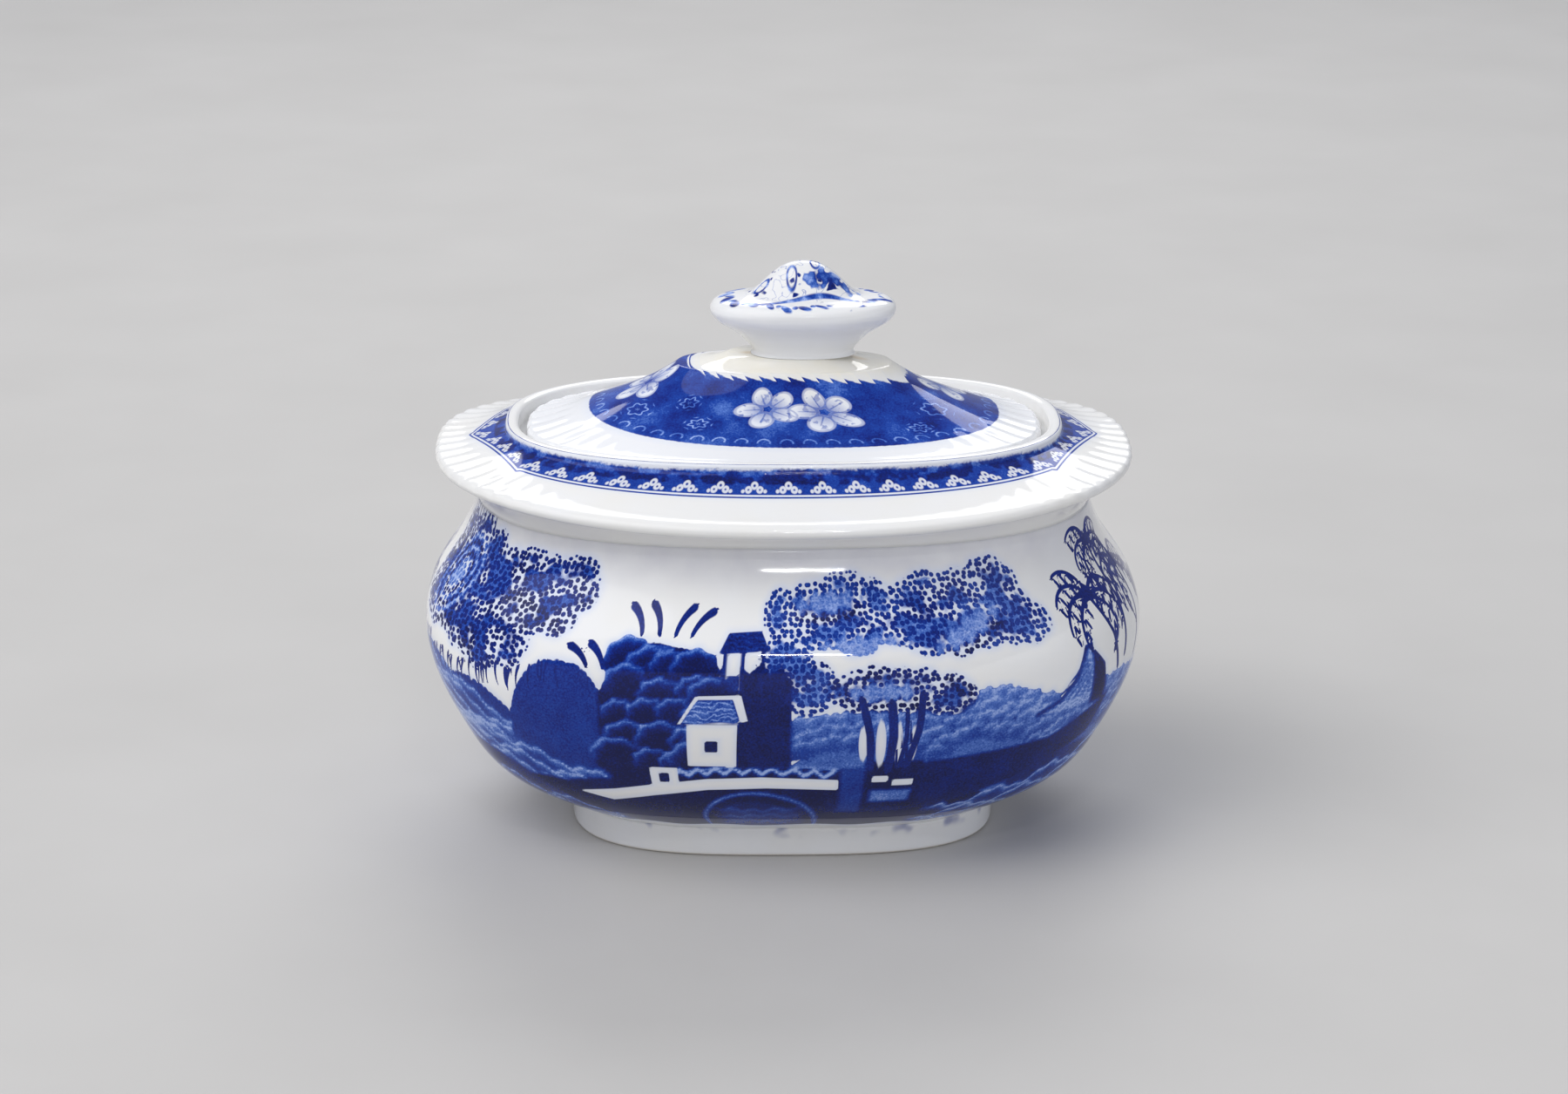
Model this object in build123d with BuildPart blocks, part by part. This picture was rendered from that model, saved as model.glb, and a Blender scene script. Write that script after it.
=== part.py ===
from build123d import *
from math import cos, pi, sin
import os

# Oblong earthenware sugar bowl with a gadrooned rim and a loose lid.
# Millimetres. The origin is on the table under the middle of the foot, with
# +X along the bowl, -Y to the front and +Z up.

# ---- Driving dimensions -------------------------------------------------

# Foot ring
foot_length = 92.6
foot_width = 66.4
foot_height = 6.9
foot_wall = 4.5
foot_flare = 0.8
foot_squareness = 3.0

# Bowl body
belly_length = 155.4
belly_width = 105.6
belly_height = 44.0
belly_squareness = 2.6
neck_height = 73.0
body_wall = 4.0
floor_thickness = 4.0
base_lift = 5.5

# Rim: a flange round the mouth, a raised collar, and a ledge for the lid
rim_length = 150.0
rim_width = 101.0
rim_squareness = 2.5
rim_rise = 11.0
rim_overhang_end = 9.0
rim_overhang_side = 8.0
edge_thickness = 2.6
edge_round = 0.7
edge_dip = 4.0
flange_width = 15.0
flange_slope = 3.2
collar_height = 2.0
collar_wall = 2.8
seat_depth = 4.2
ledge_width = 6.6
ledge_thickness = 3.4

# Lid
lid_gap = 1.5
lid_edge_thickness = 3.2
lid_edge_round = 1.1
lid_flange_width = 10.5
lid_flange_inner_width = 7.0
lid_flange_rise = 2.6
dome_rise = 10.6
dome_squareness = 2.4
crown_length = 46.0
crown_width = 20.0
crown_rise = 2.0
lid_wall = 3.4
verge_gap = 1.0
verge_depth = 6.0
verge_wall = 3.2

# Knob
knob_length = 40.0
knob_width = 22.0
knob_height = 20.4
knob_stem_length = 21.4
knob_stem_width = 12.4
knob_squareness = 2.3
knob_offset = 4.0
lute_margin = 1.6

# ---- Shapes that follow from them ---------------------------------------

# Share of the way up from foot to belly, and share of the swelling reached
lower_curve = [(0.178, 0.423), (0.461, 0.739), (0.730, 0.912), (1.0, 1.0)]
# Share of the way up from belly to neck, and share of the narrowing reached
upper_curve = [(0.345, 0.154), (0.690, 0.692), (1.0, 1.0)]
# Share of the dome's rise, and share of the way in from its foot to its crown
dome_curve = [(0.0, 0.0), (0.45, 0.50), (0.80, 0.84), (1.0, 1.0)]
# Share of the knob's height, and share of the way out from its stem to its edge
knob_flare = [(0.0, 0.06), (0.09, 0.0), (0.27, 0.48), (0.39, 0.88), (0.48, 1.0), (0.56, 0.86)]
# Share of the knob's height, and its size as a share of the disc's
knob_boss = [(0.64, 0.66), (0.78, 0.50), (0.91, 0.34), (1.0, 0.16)]

OVAL_POINTS = 24

edge_height = neck_height + rim_rise
collar_foot_height = edge_height + flange_slope
collar_top_height = collar_foot_height + collar_height
seat_height = collar_top_height - seat_depth

foot = (foot_length / 2, foot_width / 2)
foot_top = (foot[0] + foot_flare, foot[1] + foot_flare)
foot_inside = (foot[0] - foot_wall, foot[1] - foot_wall)
base = (foot[0] - foot_wall / 2, foot[1] - foot_wall / 2)
belly = (belly_length / 2, belly_width / 2)
neck = (rim_length / 2 - rim_overhang_end, rim_width / 2 - rim_overhang_side)
collar = (rim_length / 2 - flange_width, rim_width / 2 - flange_width)
pocket = (collar[0] - collar_wall, collar[1] - collar_wall)
mouth = (pocket[0] - ledge_width, pocket[1] - ledge_width)
lid_edge = (pocket[0] - lid_gap, pocket[1] - lid_gap)
verge = (mouth[0] - verge_gap, mouth[1] - verge_gap)
verge_inside = (verge[0] - verge_wall, verge[1] - verge_wall)

lid_edge_height = seat_height + lid_edge_thickness
dome_foot_height = lid_edge_height + lid_flange_rise
crown_height = dome_foot_height + dome_rise
knob_base_height = crown_height + crown_rise


def oval_points(half_length, half_width, squareness, height=0.0, dip=0.0, shift=0.0):
    """Points of a superellipse; the long sides hang lower than the ends by dip."""
    points = []
    for step in range(OVAL_POINTS):
        angle = 2 * pi * step / OVAL_POINTS
        along = abs(cos(angle)) ** (2 / squareness)
        across = abs(sin(angle)) ** (2 / squareness)
        x = half_length * (along if cos(angle) > 0 else -along)
        y = half_width * (across if sin(angle) > 0 else -across)
        points.append((x + shift, y, height - dip * (1 - along**2)))
    return points


def oval(height, half_length, half_width, squareness, shift=0.0):
    """A level oval face at a height."""
    with BuildSketch(Plane.XY.offset(height)) as section:
        with BuildLine():
            outline = [(x, y) for x, y, _ in oval_points(half_length, half_width, squareness, shift=shift)]
            Spline(*outline, periodic=True)
        make_face()
    return section.sketch


def dipping_oval(height, half_length, half_width, dip):
    """A closed wire of the rim's plan whose long sides dip."""
    points = oval_points(half_length, half_width, rim_squareness, height, dip)
    return Wire([Edge.make_spline([Vector(*point) for point in points], periodic=True)])


def between(start, end, share):
    return start + share * (end - start)


def body_sections(inset=0.0):
    """Ovals of the body from the foot to the neck, moved in by inset."""
    rows = []
    for rise, reach in lower_curve:
        height = between(foot_height, belly_height, rise)
        square = between(foot_squareness, belly_squareness, rise)
        rows.append((height, foot_top, belly, reach, square))
    for rise, reach in upper_curve:
        height = between(belly_height, neck_height, rise)
        square = between(belly_squareness, rim_squareness, rise)
        rows.append((height, belly, neck, reach, square))
    sections = []
    for height, start, end, reach, square in rows:
        half_length = between(start[0], end[0], reach) - inset
        half_width = between(start[1], end[1], reach) - inset
        sections.append(oval(height, half_length, half_width, square))
    return sections


# ---- Bowl body: the pressed hollow ware, open at the neck ----------------

with BuildPart() as body_envelope:
    underside = oval(base_lift, base[0], base[1], foot_squareness)
    shoulder = oval(foot_height, foot_top[0], foot_top[1], foot_squareness)
    loft(sections=[underside, shoulder, *body_sections()])

with BuildPart() as bowl_body:
    add(body_envelope.part)
    floor_height = base_lift + floor_thickness
    cavity_floor = oval(floor_height, base[0], base[1], foot_squareness)
    loft(sections=[cavity_floor, *body_sections(body_wall)], mode=Mode.SUBTRACT)

# ---- Foot ring, luted under the body -------------------------------------

with BuildPart() as foot_ring:
    ground = oval(0, foot[0], foot[1], foot_squareness)
    joint = oval(foot_height, foot_top[0], foot_top[1], foot_squareness)
    loft(sections=[ground, joint], ruled=True)
    with BuildSketch(Plane.XY):
        add(oval(0, foot_inside[0], foot_inside[1], foot_squareness))
    extrude(amount=foot_height, mode=Mode.SUBTRACT)
    add(body_envelope.part, mode=Mode.SUBTRACT)

# ---- Rim: flange, collar and ledge in one casting, luted on the neck -----

# The edge isn't level: its long sides dip, so these sections are wires in space
eased_edge = (rim_length / 2 - edge_round, rim_width / 2 - edge_round)
flange_blank = Solid.make_loft(
    [
        dipping_oval(neck_height, neck[0], neck[1], 0),
        dipping_oval(edge_height - edge_thickness, eased_edge[0], eased_edge[1], edge_dip),
        dipping_oval(edge_height - edge_thickness / 2, rim_length / 2, rim_width / 2, edge_dip),
        dipping_oval(edge_height, eased_edge[0], eased_edge[1], edge_dip),
        dipping_oval(collar_foot_height, collar[0], collar[1], 0),
    ],
    ruled=True,
)

with BuildPart() as rim_flange:
    add(flange_blank)
    with BuildSketch(Plane.XY.offset(collar_foot_height)):
        add(oval(0, collar[0], collar[1], rim_squareness))
    extrude(amount=collar_height)
    with BuildSketch(Plane.XY.offset(seat_height)):
        add(oval(0, pocket[0], pocket[1], rim_squareness))
    extrude(amount=seat_depth, mode=Mode.SUBTRACT)
    ledge_bottom = seat_height - ledge_thickness
    throat = oval(neck_height, neck[0] - body_wall, neck[1] - body_wall, rim_squareness)
    throat_top = oval(ledge_bottom, mouth[0], mouth[1], rim_squareness)
    loft(sections=[throat, throat_top], ruled=True, mode=Mode.SUBTRACT)
    with BuildSketch(Plane.XY.offset(ledge_bottom)):
        add(oval(0, mouth[0], mouth[1], rim_squareness))
    extrude(amount=ledge_thickness, mode=Mode.SUBTRACT)

# ---- Lid: flange, hollow dome and a verge that drops in the mouth --------

dome_foot = (lid_edge[0] - lid_flange_width, lid_edge[1] - lid_flange_inner_width)
crown = (crown_length / 2, crown_width / 2)
landing = (
    knob_stem_length / 2 + knob_offset + lute_margin,
    knob_stem_width / 2 + lute_margin,
)


def dome_sections(inset=0.0):
    """Ovals of the dome from its foot to its crown, moved in by inset."""
    return [
        oval(
            between(dome_foot_height, crown_height, rise) - inset / 2,
            between(dome_foot[0], crown[0], reach) - inset,
            between(dome_foot[1], crown[1], reach) - inset,
            dome_squareness,
        )
        for rise, reach in dome_curve
    ]


with BuildPart() as lid_cover:
    edge_start = lid_edge_height - lid_edge_round
    edge_sections = [
        oval(seat_height, lid_edge[0], lid_edge[1], rim_squareness),
        oval(edge_start, lid_edge[0], lid_edge[1], rim_squareness),
        oval(lid_edge_height, lid_edge[0] - lid_edge_round, lid_edge[1] - lid_edge_round, rim_squareness),
    ]
    dome_rows = dome_sections()
    loft(sections=[*edge_sections, dome_rows[0]], ruled=True)
    dome_top = oval(knob_base_height, landing[0], landing[1], dome_squareness)
    loft(sections=[*dome_rows, dome_top])
    with BuildSketch(Plane.XY.offset(seat_height)):
        add(oval(0, verge[0], verge[1], rim_squareness))
    extrude(amount=-verge_depth)
    with BuildSketch(Plane.XY.offset(seat_height - verge_depth)):
        add(oval(0, verge_inside[0], verge_inside[1], rim_squareness))
    extrude(amount=verge_depth, mode=Mode.SUBTRACT)
    hollow_foot = oval(seat_height, verge_inside[0], verge_inside[1], rim_squareness)
    hollow_rows = dome_sections(lid_wall)
    loft(sections=[hollow_foot, hollow_rows[0]], ruled=True, mode=Mode.SUBTRACT)
    loft(sections=hollow_rows, mode=Mode.SUBTRACT)

# ---- Knob: stem, oblong disc and boss, luted on the crown ----------------

with BuildPart() as knob:
    stem = (knob_stem_length / 2, knob_stem_width / 2)
    disc = (knob_length / 2, knob_width / 2)
    knob_rows = [
        (rise, between(stem[0], disc[0], reach), between(stem[1], disc[1], reach))
        for rise, reach in knob_flare
    ]
    knob_rows += [(rise, disc[0] * size, disc[1] * size) for rise, size in knob_boss]
    loft(
        sections=[
            oval(knob_base_height + rise * knob_height, half_length, half_width, knob_squareness, knob_offset)
            for rise, half_length, half_width in knob_rows
        ]
    )

# ---- Export: one STEP for each piece -------------------------------------

os.makedirs("parts", exist_ok=True)

bowl_body.part.label = "bowl_body"
export_step(bowl_body.part, "parts/bowl_body.step")

foot_ring.part.label = "foot_ring"
export_step(foot_ring.part, "parts/foot_ring.step")

rim_flange.part.label = "rim_flange"
export_step(rim_flange.part, "parts/rim_flange.step")

lid_cover.part.label = "lid_cover"
export_step(lid_cover.part, "parts/lid_cover.step")

knob.part.label = "knob"
export_step(knob.part, "parts/knob.step")
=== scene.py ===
# %% [markdown]
# # A blue and white sugar bowl
# The bowl and its lid are white earthenware with a cobalt print under a clear,
# glossy glaze. The imported model comes in first, as the frame that every piece
# is fitted to.

# %% Load the frame
import math
import bmesh
import bpy
import numpy as np
from mathutils import Matrix, Vector


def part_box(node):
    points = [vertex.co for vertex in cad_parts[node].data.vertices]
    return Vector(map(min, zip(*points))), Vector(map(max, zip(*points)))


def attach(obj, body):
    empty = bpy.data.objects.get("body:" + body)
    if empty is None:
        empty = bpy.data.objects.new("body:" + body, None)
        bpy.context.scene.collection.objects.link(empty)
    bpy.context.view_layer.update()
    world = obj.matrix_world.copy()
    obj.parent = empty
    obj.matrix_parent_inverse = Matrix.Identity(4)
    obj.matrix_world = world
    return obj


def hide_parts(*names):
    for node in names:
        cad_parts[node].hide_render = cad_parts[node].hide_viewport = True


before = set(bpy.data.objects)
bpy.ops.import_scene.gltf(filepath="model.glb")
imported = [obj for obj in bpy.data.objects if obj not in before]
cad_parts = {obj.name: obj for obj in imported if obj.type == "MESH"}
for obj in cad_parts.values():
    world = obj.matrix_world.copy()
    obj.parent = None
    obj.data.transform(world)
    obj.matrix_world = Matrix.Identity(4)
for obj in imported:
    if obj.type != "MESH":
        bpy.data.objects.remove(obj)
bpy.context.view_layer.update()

MM = 0.001

# %% [markdown]
# ## The sizes, read from the frame
# Each piece takes its length, width and height from the solid it stands for,
# so nothing has to be fitted by eye. Lengths are half lengths along X, and
# widths are half widths along Y.


# %% Sizes
def half_sizes(node):
    """Half length, half width, lowest and highest point of a node, in metres."""
    low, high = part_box(node)
    return (high[0] - low[0]) / 2, (high[1] - low[1]) / 2, low[2], high[2]


belly_a, belly_b, base_z, neck_z = half_sizes("bowl_body")
rim_a, rim_b, _, collar_z = half_sizes("rim_flange")
foot_a, foot_b, ground_z, foot_z = half_sizes("foot_ring")
lid_a, lid_b, verge_z, crown_z = half_sizes("lid_cover")
knob_a, knob_b, _, knob_top_z = half_sizes("knob")
knob_x = (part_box("knob")[0][0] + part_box("knob")[1][0]) / 2
print("belly", belly_a, belly_b, "rim", rim_a, rim_b, "lid", lid_a, lid_b, "knob at", knob_x)

# %% [markdown]
# ## The camera
# The camera looks a little down on the bowl, as a person seated at a table
# does. A long lens from nearly a metre away keeps the oval outlines calm, where
# a short lens would swell the near side. It aims at the middle of the bowl.

# %% Camera
SENSOR = 36
LENS = 94.5
DISTANCE = 0.9
ELEVATION = math.radians(18.5)
AZIMUTH = math.radians(-1.6)
ROLL = math.radians(0.35)
aim = Vector((0.0002, 0, 0.0592))

back = Vector((
    math.sin(AZIMUTH) * math.cos(ELEVATION),
    -math.cos(AZIMUTH) * math.cos(ELEVATION),
    math.sin(ELEVATION),
))
camera_data = bpy.data.cameras.new("camera")
camera_data.sensor_width = SENSOR
camera_data.lens = LENS
camera_data.clip_start = 0.01
camera = bpy.data.objects.new("camera", camera_data)
bpy.context.collection.objects.link(camera)
turn = (-back).to_track_quat("-Z", "Y").to_matrix() @ Matrix.Rotation(ROLL, 3, "Z")
camera.matrix_world = Matrix.Translation(aim + back * DISTANCE) @ turn.to_4x4()
bpy.context.scene.camera = camera
print("lens", camera_data.lens)

# %% [markdown]
# ## Soft lights
# A glossy glaze shows the lamps themselves, so a lamp with a hard edge would
# leave a hard patch on the belly. The two wide lights are therefore made of
# nested ovals, which add up to a light that fades towards its edge. The key
# stands at the left and above, the fill is weaker and at the right, a third
# glows from behind, and two thin strips leave narrow bright bars on the glaze.
# The Standard view transform shows the glaze and the ink in their own colours.


# %% Lights
NESTED = (1.0, 0.86, 0.72, 0.58, 0.44, 0.30)
THIN = 0.1
ROOM_COLOUR = (0.80, 0.83, 0.92, 1)
ROOM_STRENGTH = 0.42
middle = (0, 0, 0.06)


def area_light(name, place, size, power, colour=(1, 1, 1)):
    """A light at place that shines towards the bowl. Thin ones are bars, the others are ovals."""
    data = bpy.data.lights.new(name, "AREA")
    data.shape = "ELLIPSE" if size[1] > THIN else "RECTANGLE"
    data.size, data.size_y = size
    data.energy = power
    data.color = colour
    lamp = bpy.data.objects.new(name, data)
    lamp.location = place
    lamp.rotation_euler = (Vector(middle) - Vector(place)).to_track_quat("-Z", "Y").to_euler()
    bpy.context.collection.objects.link(lamp)


def soft_light(name, place, size, power, colour):
    """Nested ovals of equal brightness, so that the reflection fades towards its edge."""
    total = sum(share**2 for share in NESTED)
    for share in NESTED:
        oval = (size[0] * share, size[1] * share)
        area_light(f"{name}_{share}", place, oval, power * share**2 / total, colour)


soft_light("key", (-0.75, -0.40, 1.15), (1.7, 1.35), 21.5, (1.0, 0.99, 0.975))
soft_light("fill", (1.0, -0.9, 0.55), (1.2, 1.2), 3.4, (0.92, 0.95, 1.0))
area_light("back_glow", (0.1, 1.0, 0.9), (1.2, 0.6), 6.0)
area_light("high_strip", (0.06, -0.75, 0.76), (0.13, 0.003), 0.50)
area_light("low_strip", (0.06, -0.95, 0.36), (0.13, 0.004), 0.70)

world = bpy.data.worlds.new("room")
world.use_nodes = True
background = world.node_tree.nodes["Background"]
background.inputs["Color"].default_value = ROOM_COLOUR
background.inputs["Strength"].default_value = ROOM_STRENGTH
bpy.context.scene.world = world
bpy.context.scene.view_settings.view_transform = "Standard"
print("lights", [lamp.name for lamp in bpy.data.lights])

# %% [markdown]
# ## Fields: sums written as sums
# A procedural finish is a long chain of small sums. Written node by node it is
# hard to read, so this small class wraps a socket and turns `a + b` into an
# Add node. A pattern can then be written the way it would be on paper.


# %% Fields
class Field:
    """A number in a shader tree. Arithmetic on it adds Math nodes."""

    def __init__(self, tree, socket):
        self.tree = tree
        self.socket = socket

    def math(self, operation, *others):
        """A Math node on this field and the others."""
        node = self.tree.nodes.new("ShaderNodeMath")
        node.operation = operation
        for slot, value in enumerate((self, *others)):
            if isinstance(value, Field):
                self.tree.links.new(value.socket, node.inputs[slot])
            else:
                node.inputs[slot].default_value = float(value)
        return Field(self.tree, node.outputs[0])

    def __add__(self, other):
        return self.math("ADD", other)

    __radd__ = __add__

    def __sub__(self, other):
        return self.math("SUBTRACT", other)

    def __rsub__(self, other):
        return (self * -1) + other

    def __mul__(self, other):
        return self.math("MULTIPLY", other)

    __rmul__ = __mul__

    def __truediv__(self, other):
        return self.math("DIVIDE", other)

    def less(self, other):
        """The lesser of two."""
        return self.math("MINIMUM", other)

    def more(self, other):
        """The greater of two."""
        return self.math("MAXIMUM", other)

    def size(self):
        """Without its sign."""
        return self.math("ABSOLUTE")

    def cycle(self, length):
        """Position within a repeat of that length, from minus half to plus half."""
        return (self / length + 0.5).math("FRACT") * length - length / 2

    def inside(self, softness):
        """1 where the field is below zero, 0 above, soft over that width."""
        node = self.tree.nodes.new("ShaderNodeMapRange")
        node.interpolation_type = "SMOOTHSTEP"
        self.tree.links.new(self.socket, node.inputs["Value"])
        node.inputs["From Min"].default_value = softness / 2
        node.inputs["From Max"].default_value = -softness / 2
        return Field(self.tree, node.outputs["Result"])


def distance(x, y):
    """How far a point is from the origin."""
    return (x * x + y * y).math("SQRT")


# %% [markdown]
# ## Where a pattern gets its places from
# A print follows the piece round, so it is drawn on the piece's own map or on
# values stored on its points. The glaze's waviness has no direction, so it
# reads Object coordinates. Both are in millimetres, and so are the sizes of the
# two random patterns: cloudy noise, and a scatter of dots.


# %% Coordinates and patterns
def attribute(tree, name):
    """A value stored on the piece's points."""
    node = tree.nodes.new("ShaderNodeAttribute")
    node.attribute_name = name
    return Field(tree, node.outputs["Fac"])


def uv_fields(tree, name="around"):
    """The two coordinates of a piece's own map, in millimetres."""
    node = tree.nodes.new("ShaderNodeUVMap")
    node.uv_map = name
    split = tree.nodes.new("ShaderNodeSeparateXYZ")
    tree.links.new(node.outputs["UV"], split.inputs[0])
    return Field(tree, split.outputs[0]), Field(tree, split.outputs[1])


def object_fields(tree):
    """Object coordinates in millimetres, and the socket they come from."""
    node = tree.nodes.new("ShaderNodeTexCoord")
    scale = tree.nodes.new("ShaderNodeVectorMath")
    scale.operation = "SCALE"
    scale.inputs["Scale"].default_value = 1 / MM
    tree.links.new(node.outputs["Object"], scale.inputs[0])
    split = tree.nodes.new("ShaderNodeSeparateXYZ")
    tree.links.new(scale.outputs[0], split.inputs[0])
    return [Field(tree, out) for out in split.outputs], scale.outputs[0]


def noise(tree, vector, size, detail=2.0, roughness=0.5):
    """Cloudy noise from 0 to 1 whose lumps are about size millimetres."""
    node = tree.nodes.new("ShaderNodeTexNoise")
    node.inputs["Scale"].default_value = 1 / size
    node.inputs["Detail"].default_value = detail
    node.inputs["Roughness"].default_value = roughness
    tree.links.new(vector, node.inputs["Vector"])
    return Field(tree, node.outputs["Fac"])


def mix(tree, amount, low, high):
    """A colour between two colours or colour sockets."""
    node = tree.nodes.new("ShaderNodeMix")
    node.data_type = "RGBA"
    tree.links.new(amount.socket, node.inputs["Factor"])
    colour_inputs = [socket for socket in node.inputs if socket.type == "RGBA"]
    for value, socket in zip((low, high), colour_inputs):
        if isinstance(value, tuple):
            socket.default_value = (*value, 1)
        else:
            tree.links.new(value, socket)
    return [out for out in node.outputs if out.type == "RGBA"][0]


SCATTER_RANDOMNESS = 0.75


def map_dots(tree, pitch, name="around"):
    """Distance to the nearest dot of an even scatter over the piece's own map."""
    place = tree.nodes.new("ShaderNodeUVMap")
    place.uv_map = name
    node = tree.nodes.new("ShaderNodeTexVoronoi")
    node.voronoi_dimensions = "2D"
    node.inputs["Scale"].default_value = 1 / pitch
    node.inputs["Randomness"].default_value = SCATTER_RANDOMNESS
    tree.links.new(place.outputs["UV"], node.inputs["Vector"])
    return Field(tree, node.outputs["Distance"]) * pitch


# %% [markdown]
# ## Glaze and cobalt
# Every piece wears the same clear glaze: very smooth, with a slow waviness that
# bends its reflections a little. Under it the print is cobalt, which runs from
# pale through royal blue to navy as the ink gets thicker, and bleeds a faint
# tint into the white beside it. `finish_glaze` builds all that from three
# fields: where ink is, how dark it is and how near the white beside it lies.

# %% Glaze
WHITE = (0.86, 0.87, 0.895)
IVORY = (0.84, 0.80, 0.68)
INK_STOPS = [
    (0.0, (0.36, 0.48, 0.85)),
    (0.25, (0.080, 0.180, 0.58)),
    (0.50, (0.007, 0.052, 0.36)),
    (0.75, (0.001, 0.016, 0.21)),
    (1.0, (0.001, 0.004, 0.065)),
]
BLEED_TINT = (0.60, 0.68, 0.90)
BLEED_SHARE = 0.55
MOTTLE_SIZE = 5.0
MOTTLE_SHARE = 0.30
GRAIN_SIZE = 0.42
GRAIN_SHARE = 0.45
SWELL_SIZE = 9.0
SWELL_HEIGHT = 0.05


def new_material(name):
    """A node material, its tree and its shader."""
    material = bpy.data.materials.new(name)
    material.use_nodes = True
    tree = material.node_tree
    return material, tree, tree.nodes["Principled BSDF"]


def cobalt(tree, tone):
    """The colour of ink of that darkness."""
    ramp = tree.nodes.new("ShaderNodeValToRGB")
    stops = ramp.color_ramp.elements
    while len(stops) < len(INK_STOPS):
        stops.new(0.5)
    for stop, (place, colour) in zip(stops, INK_STOPS):
        stop.position = place
        stop.color = (*colour, 1)
    tree.links.new(tone.socket, ramp.inputs["Fac"])
    return ramp.outputs["Color"]


def finish_glaze(tree, shader, ground, ink, tone, bleed=None):
    """Links the ground colour, the print and the glaze to the shader."""
    _, place = object_fields(tree)
    colour = ground
    if bleed is not None:
        colour = mix(tree, bleed * BLEED_SHARE, colour, BLEED_TINT)
    mottle = noise(tree, place, MOTTLE_SIZE, 3.0) - 0.5
    grain = noise(tree, place, GRAIN_SIZE, 1.0) - 0.5
    shade = tone + mottle * MOTTLE_SHARE + grain * GRAIN_SHARE
    colour = mix(tree, ink, colour, cobalt(tree, shade))
    tree.links.new(colour, shader.inputs["Base Color"])
    rough = 0.04 + noise(tree, place, 3.0) * 0.04
    tree.links.new(rough.socket, shader.inputs["Roughness"])
    shader.inputs["IOR"].default_value = 1.52
    shader.inputs["Specular IOR Level"].default_value = 0.28
    shader.inputs["Coat Weight"].default_value = 0.10
    shader.inputs["Coat Roughness"].default_value = 0.02
    swell = noise(tree, place, SWELL_SIZE, 1.0) * SWELL_HEIGHT + noise(tree, place, 1.3, 1.0) * 0.002
    bump = tree.nodes.new("ShaderNodeBump")
    bump.inputs["Strength"].default_value = 1.0
    bump.inputs["Distance"].default_value = MM
    tree.links.new(swell.socket, bump.inputs["Height"])
    tree.links.new(bump.outputs["Normal"], shader.inputs["Normal"])


# %% [markdown]
# ## Turning an oval piece
# A round pot is a profile turned about an axis. This bowl is oval, so a spin
# alone can't make it. Instead a flat grid is rolled up, as a potter rolls a
# slab: its rows follow the profile and its columns stand at even steps round
# the oval, so that flutes and print keep an even pitch. The seam and the poles
# are then welded. Before that, while the grid still has a left and a right
# edge, each point's distance round the oval and up the profile is written to
# the piece's own map.


# %% Ovals
FINE_STEPS = 7201


def superellipse(angle, squareness):
    """Unit oval: how far along X and across Y at each angle."""
    along = np.sign(np.cos(angle)) * np.abs(np.cos(angle)) ** (2 / squareness)
    across = np.sign(np.sin(angle)) * np.abs(np.sin(angle)) ** (2 / squareness)
    return along, across


def even_angles(half_length, half_width, squareness, count):
    """Angles at even steps of length round an oval, from the middle of its back."""
    fine = np.linspace(0, 2 * np.pi, FINE_STEPS) + np.pi / 2
    along, across = superellipse(fine, squareness)
    steps = np.hypot(np.diff(along * half_length), np.diff(across * half_width))
    run = np.concatenate([[0], np.cumsum(steps)])
    return np.interp(np.linspace(0, run[-1], count, endpoint=False), run, fine), run[-1]


def smooth_curve(knots, values, at):
    """A natural cubic curve through the knots, read at the places asked."""
    knots = np.asarray(knots, float)
    values = np.asarray(values, float)
    gaps = np.diff(knots)
    count = len(knots)
    system = np.zeros((count, count))
    right = np.zeros(count)
    system[0, 0] = system[-1, -1] = 1
    for i in range(1, count - 1):
        system[i, i - 1 : i + 2] = gaps[i - 1], 2 * (gaps[i - 1] + gaps[i]), gaps[i]
        rise_after = (values[i + 1] - values[i]) / gaps[i]
        rise_before = (values[i] - values[i - 1]) / gaps[i - 1]
        right[i] = 6 * (rise_after - rise_before)
    bend = np.linalg.solve(system, right)
    at = np.asarray(at, float)
    i = np.clip(np.searchsorted(knots, at) - 1, 0, count - 2)
    t = at - knots[i]
    g = gaps[i]
    slope = (values[i + 1] - values[i]) / g - g * (2 * bend[i] + bend[i + 1]) / 6
    return values[i] + t * (slope + t * (bend[i] / 2 + t * (bend[i + 1] - bend[i]) / (6 * g)))


# %% [markdown]
# ## Flutes and the piece's own map
# The flutes are pressed into the clay while the sheet is rolled. Each one is a
# rounded ridge with a narrow groove beside it. On the real ware they stand out
# at the two ends of the oval and nearly vanish along its sides, so a flute's
# height depends on how near an end it is.

# %% Turned pieces
GROOVE_SOFTNESS = 0.06
FLUTE_LEVEL = 0.6
FLUTES_FROM = 0.60
FLUTES_FADE = 0.36
MAP_MARGIN = 2 * MM
WELD = 1e-7


def rolled_sheet(name, row_count, columns, closed):
    """A flat grid to be rolled up. Returns the mesh and each point's row and column."""
    lines = row_count if closed else row_count - 1
    bm = bmesh.new()
    bmesh.ops.create_grid(bm, x_segments=columns, y_segments=lines, size=0.5)
    mesh = bpy.data.meshes.new(name)
    bm.to_mesh(mesh)
    bm.free()
    points = np.empty(len(mesh.vertices) * 3)
    mesh.vertices.foreach_get("co", points)
    points = points.reshape(-1, 3) + 0.5
    return mesh, np.rint(points[:, 1] * lines).astype(int), np.rint(points[:, 0] * columns).astype(int)


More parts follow.
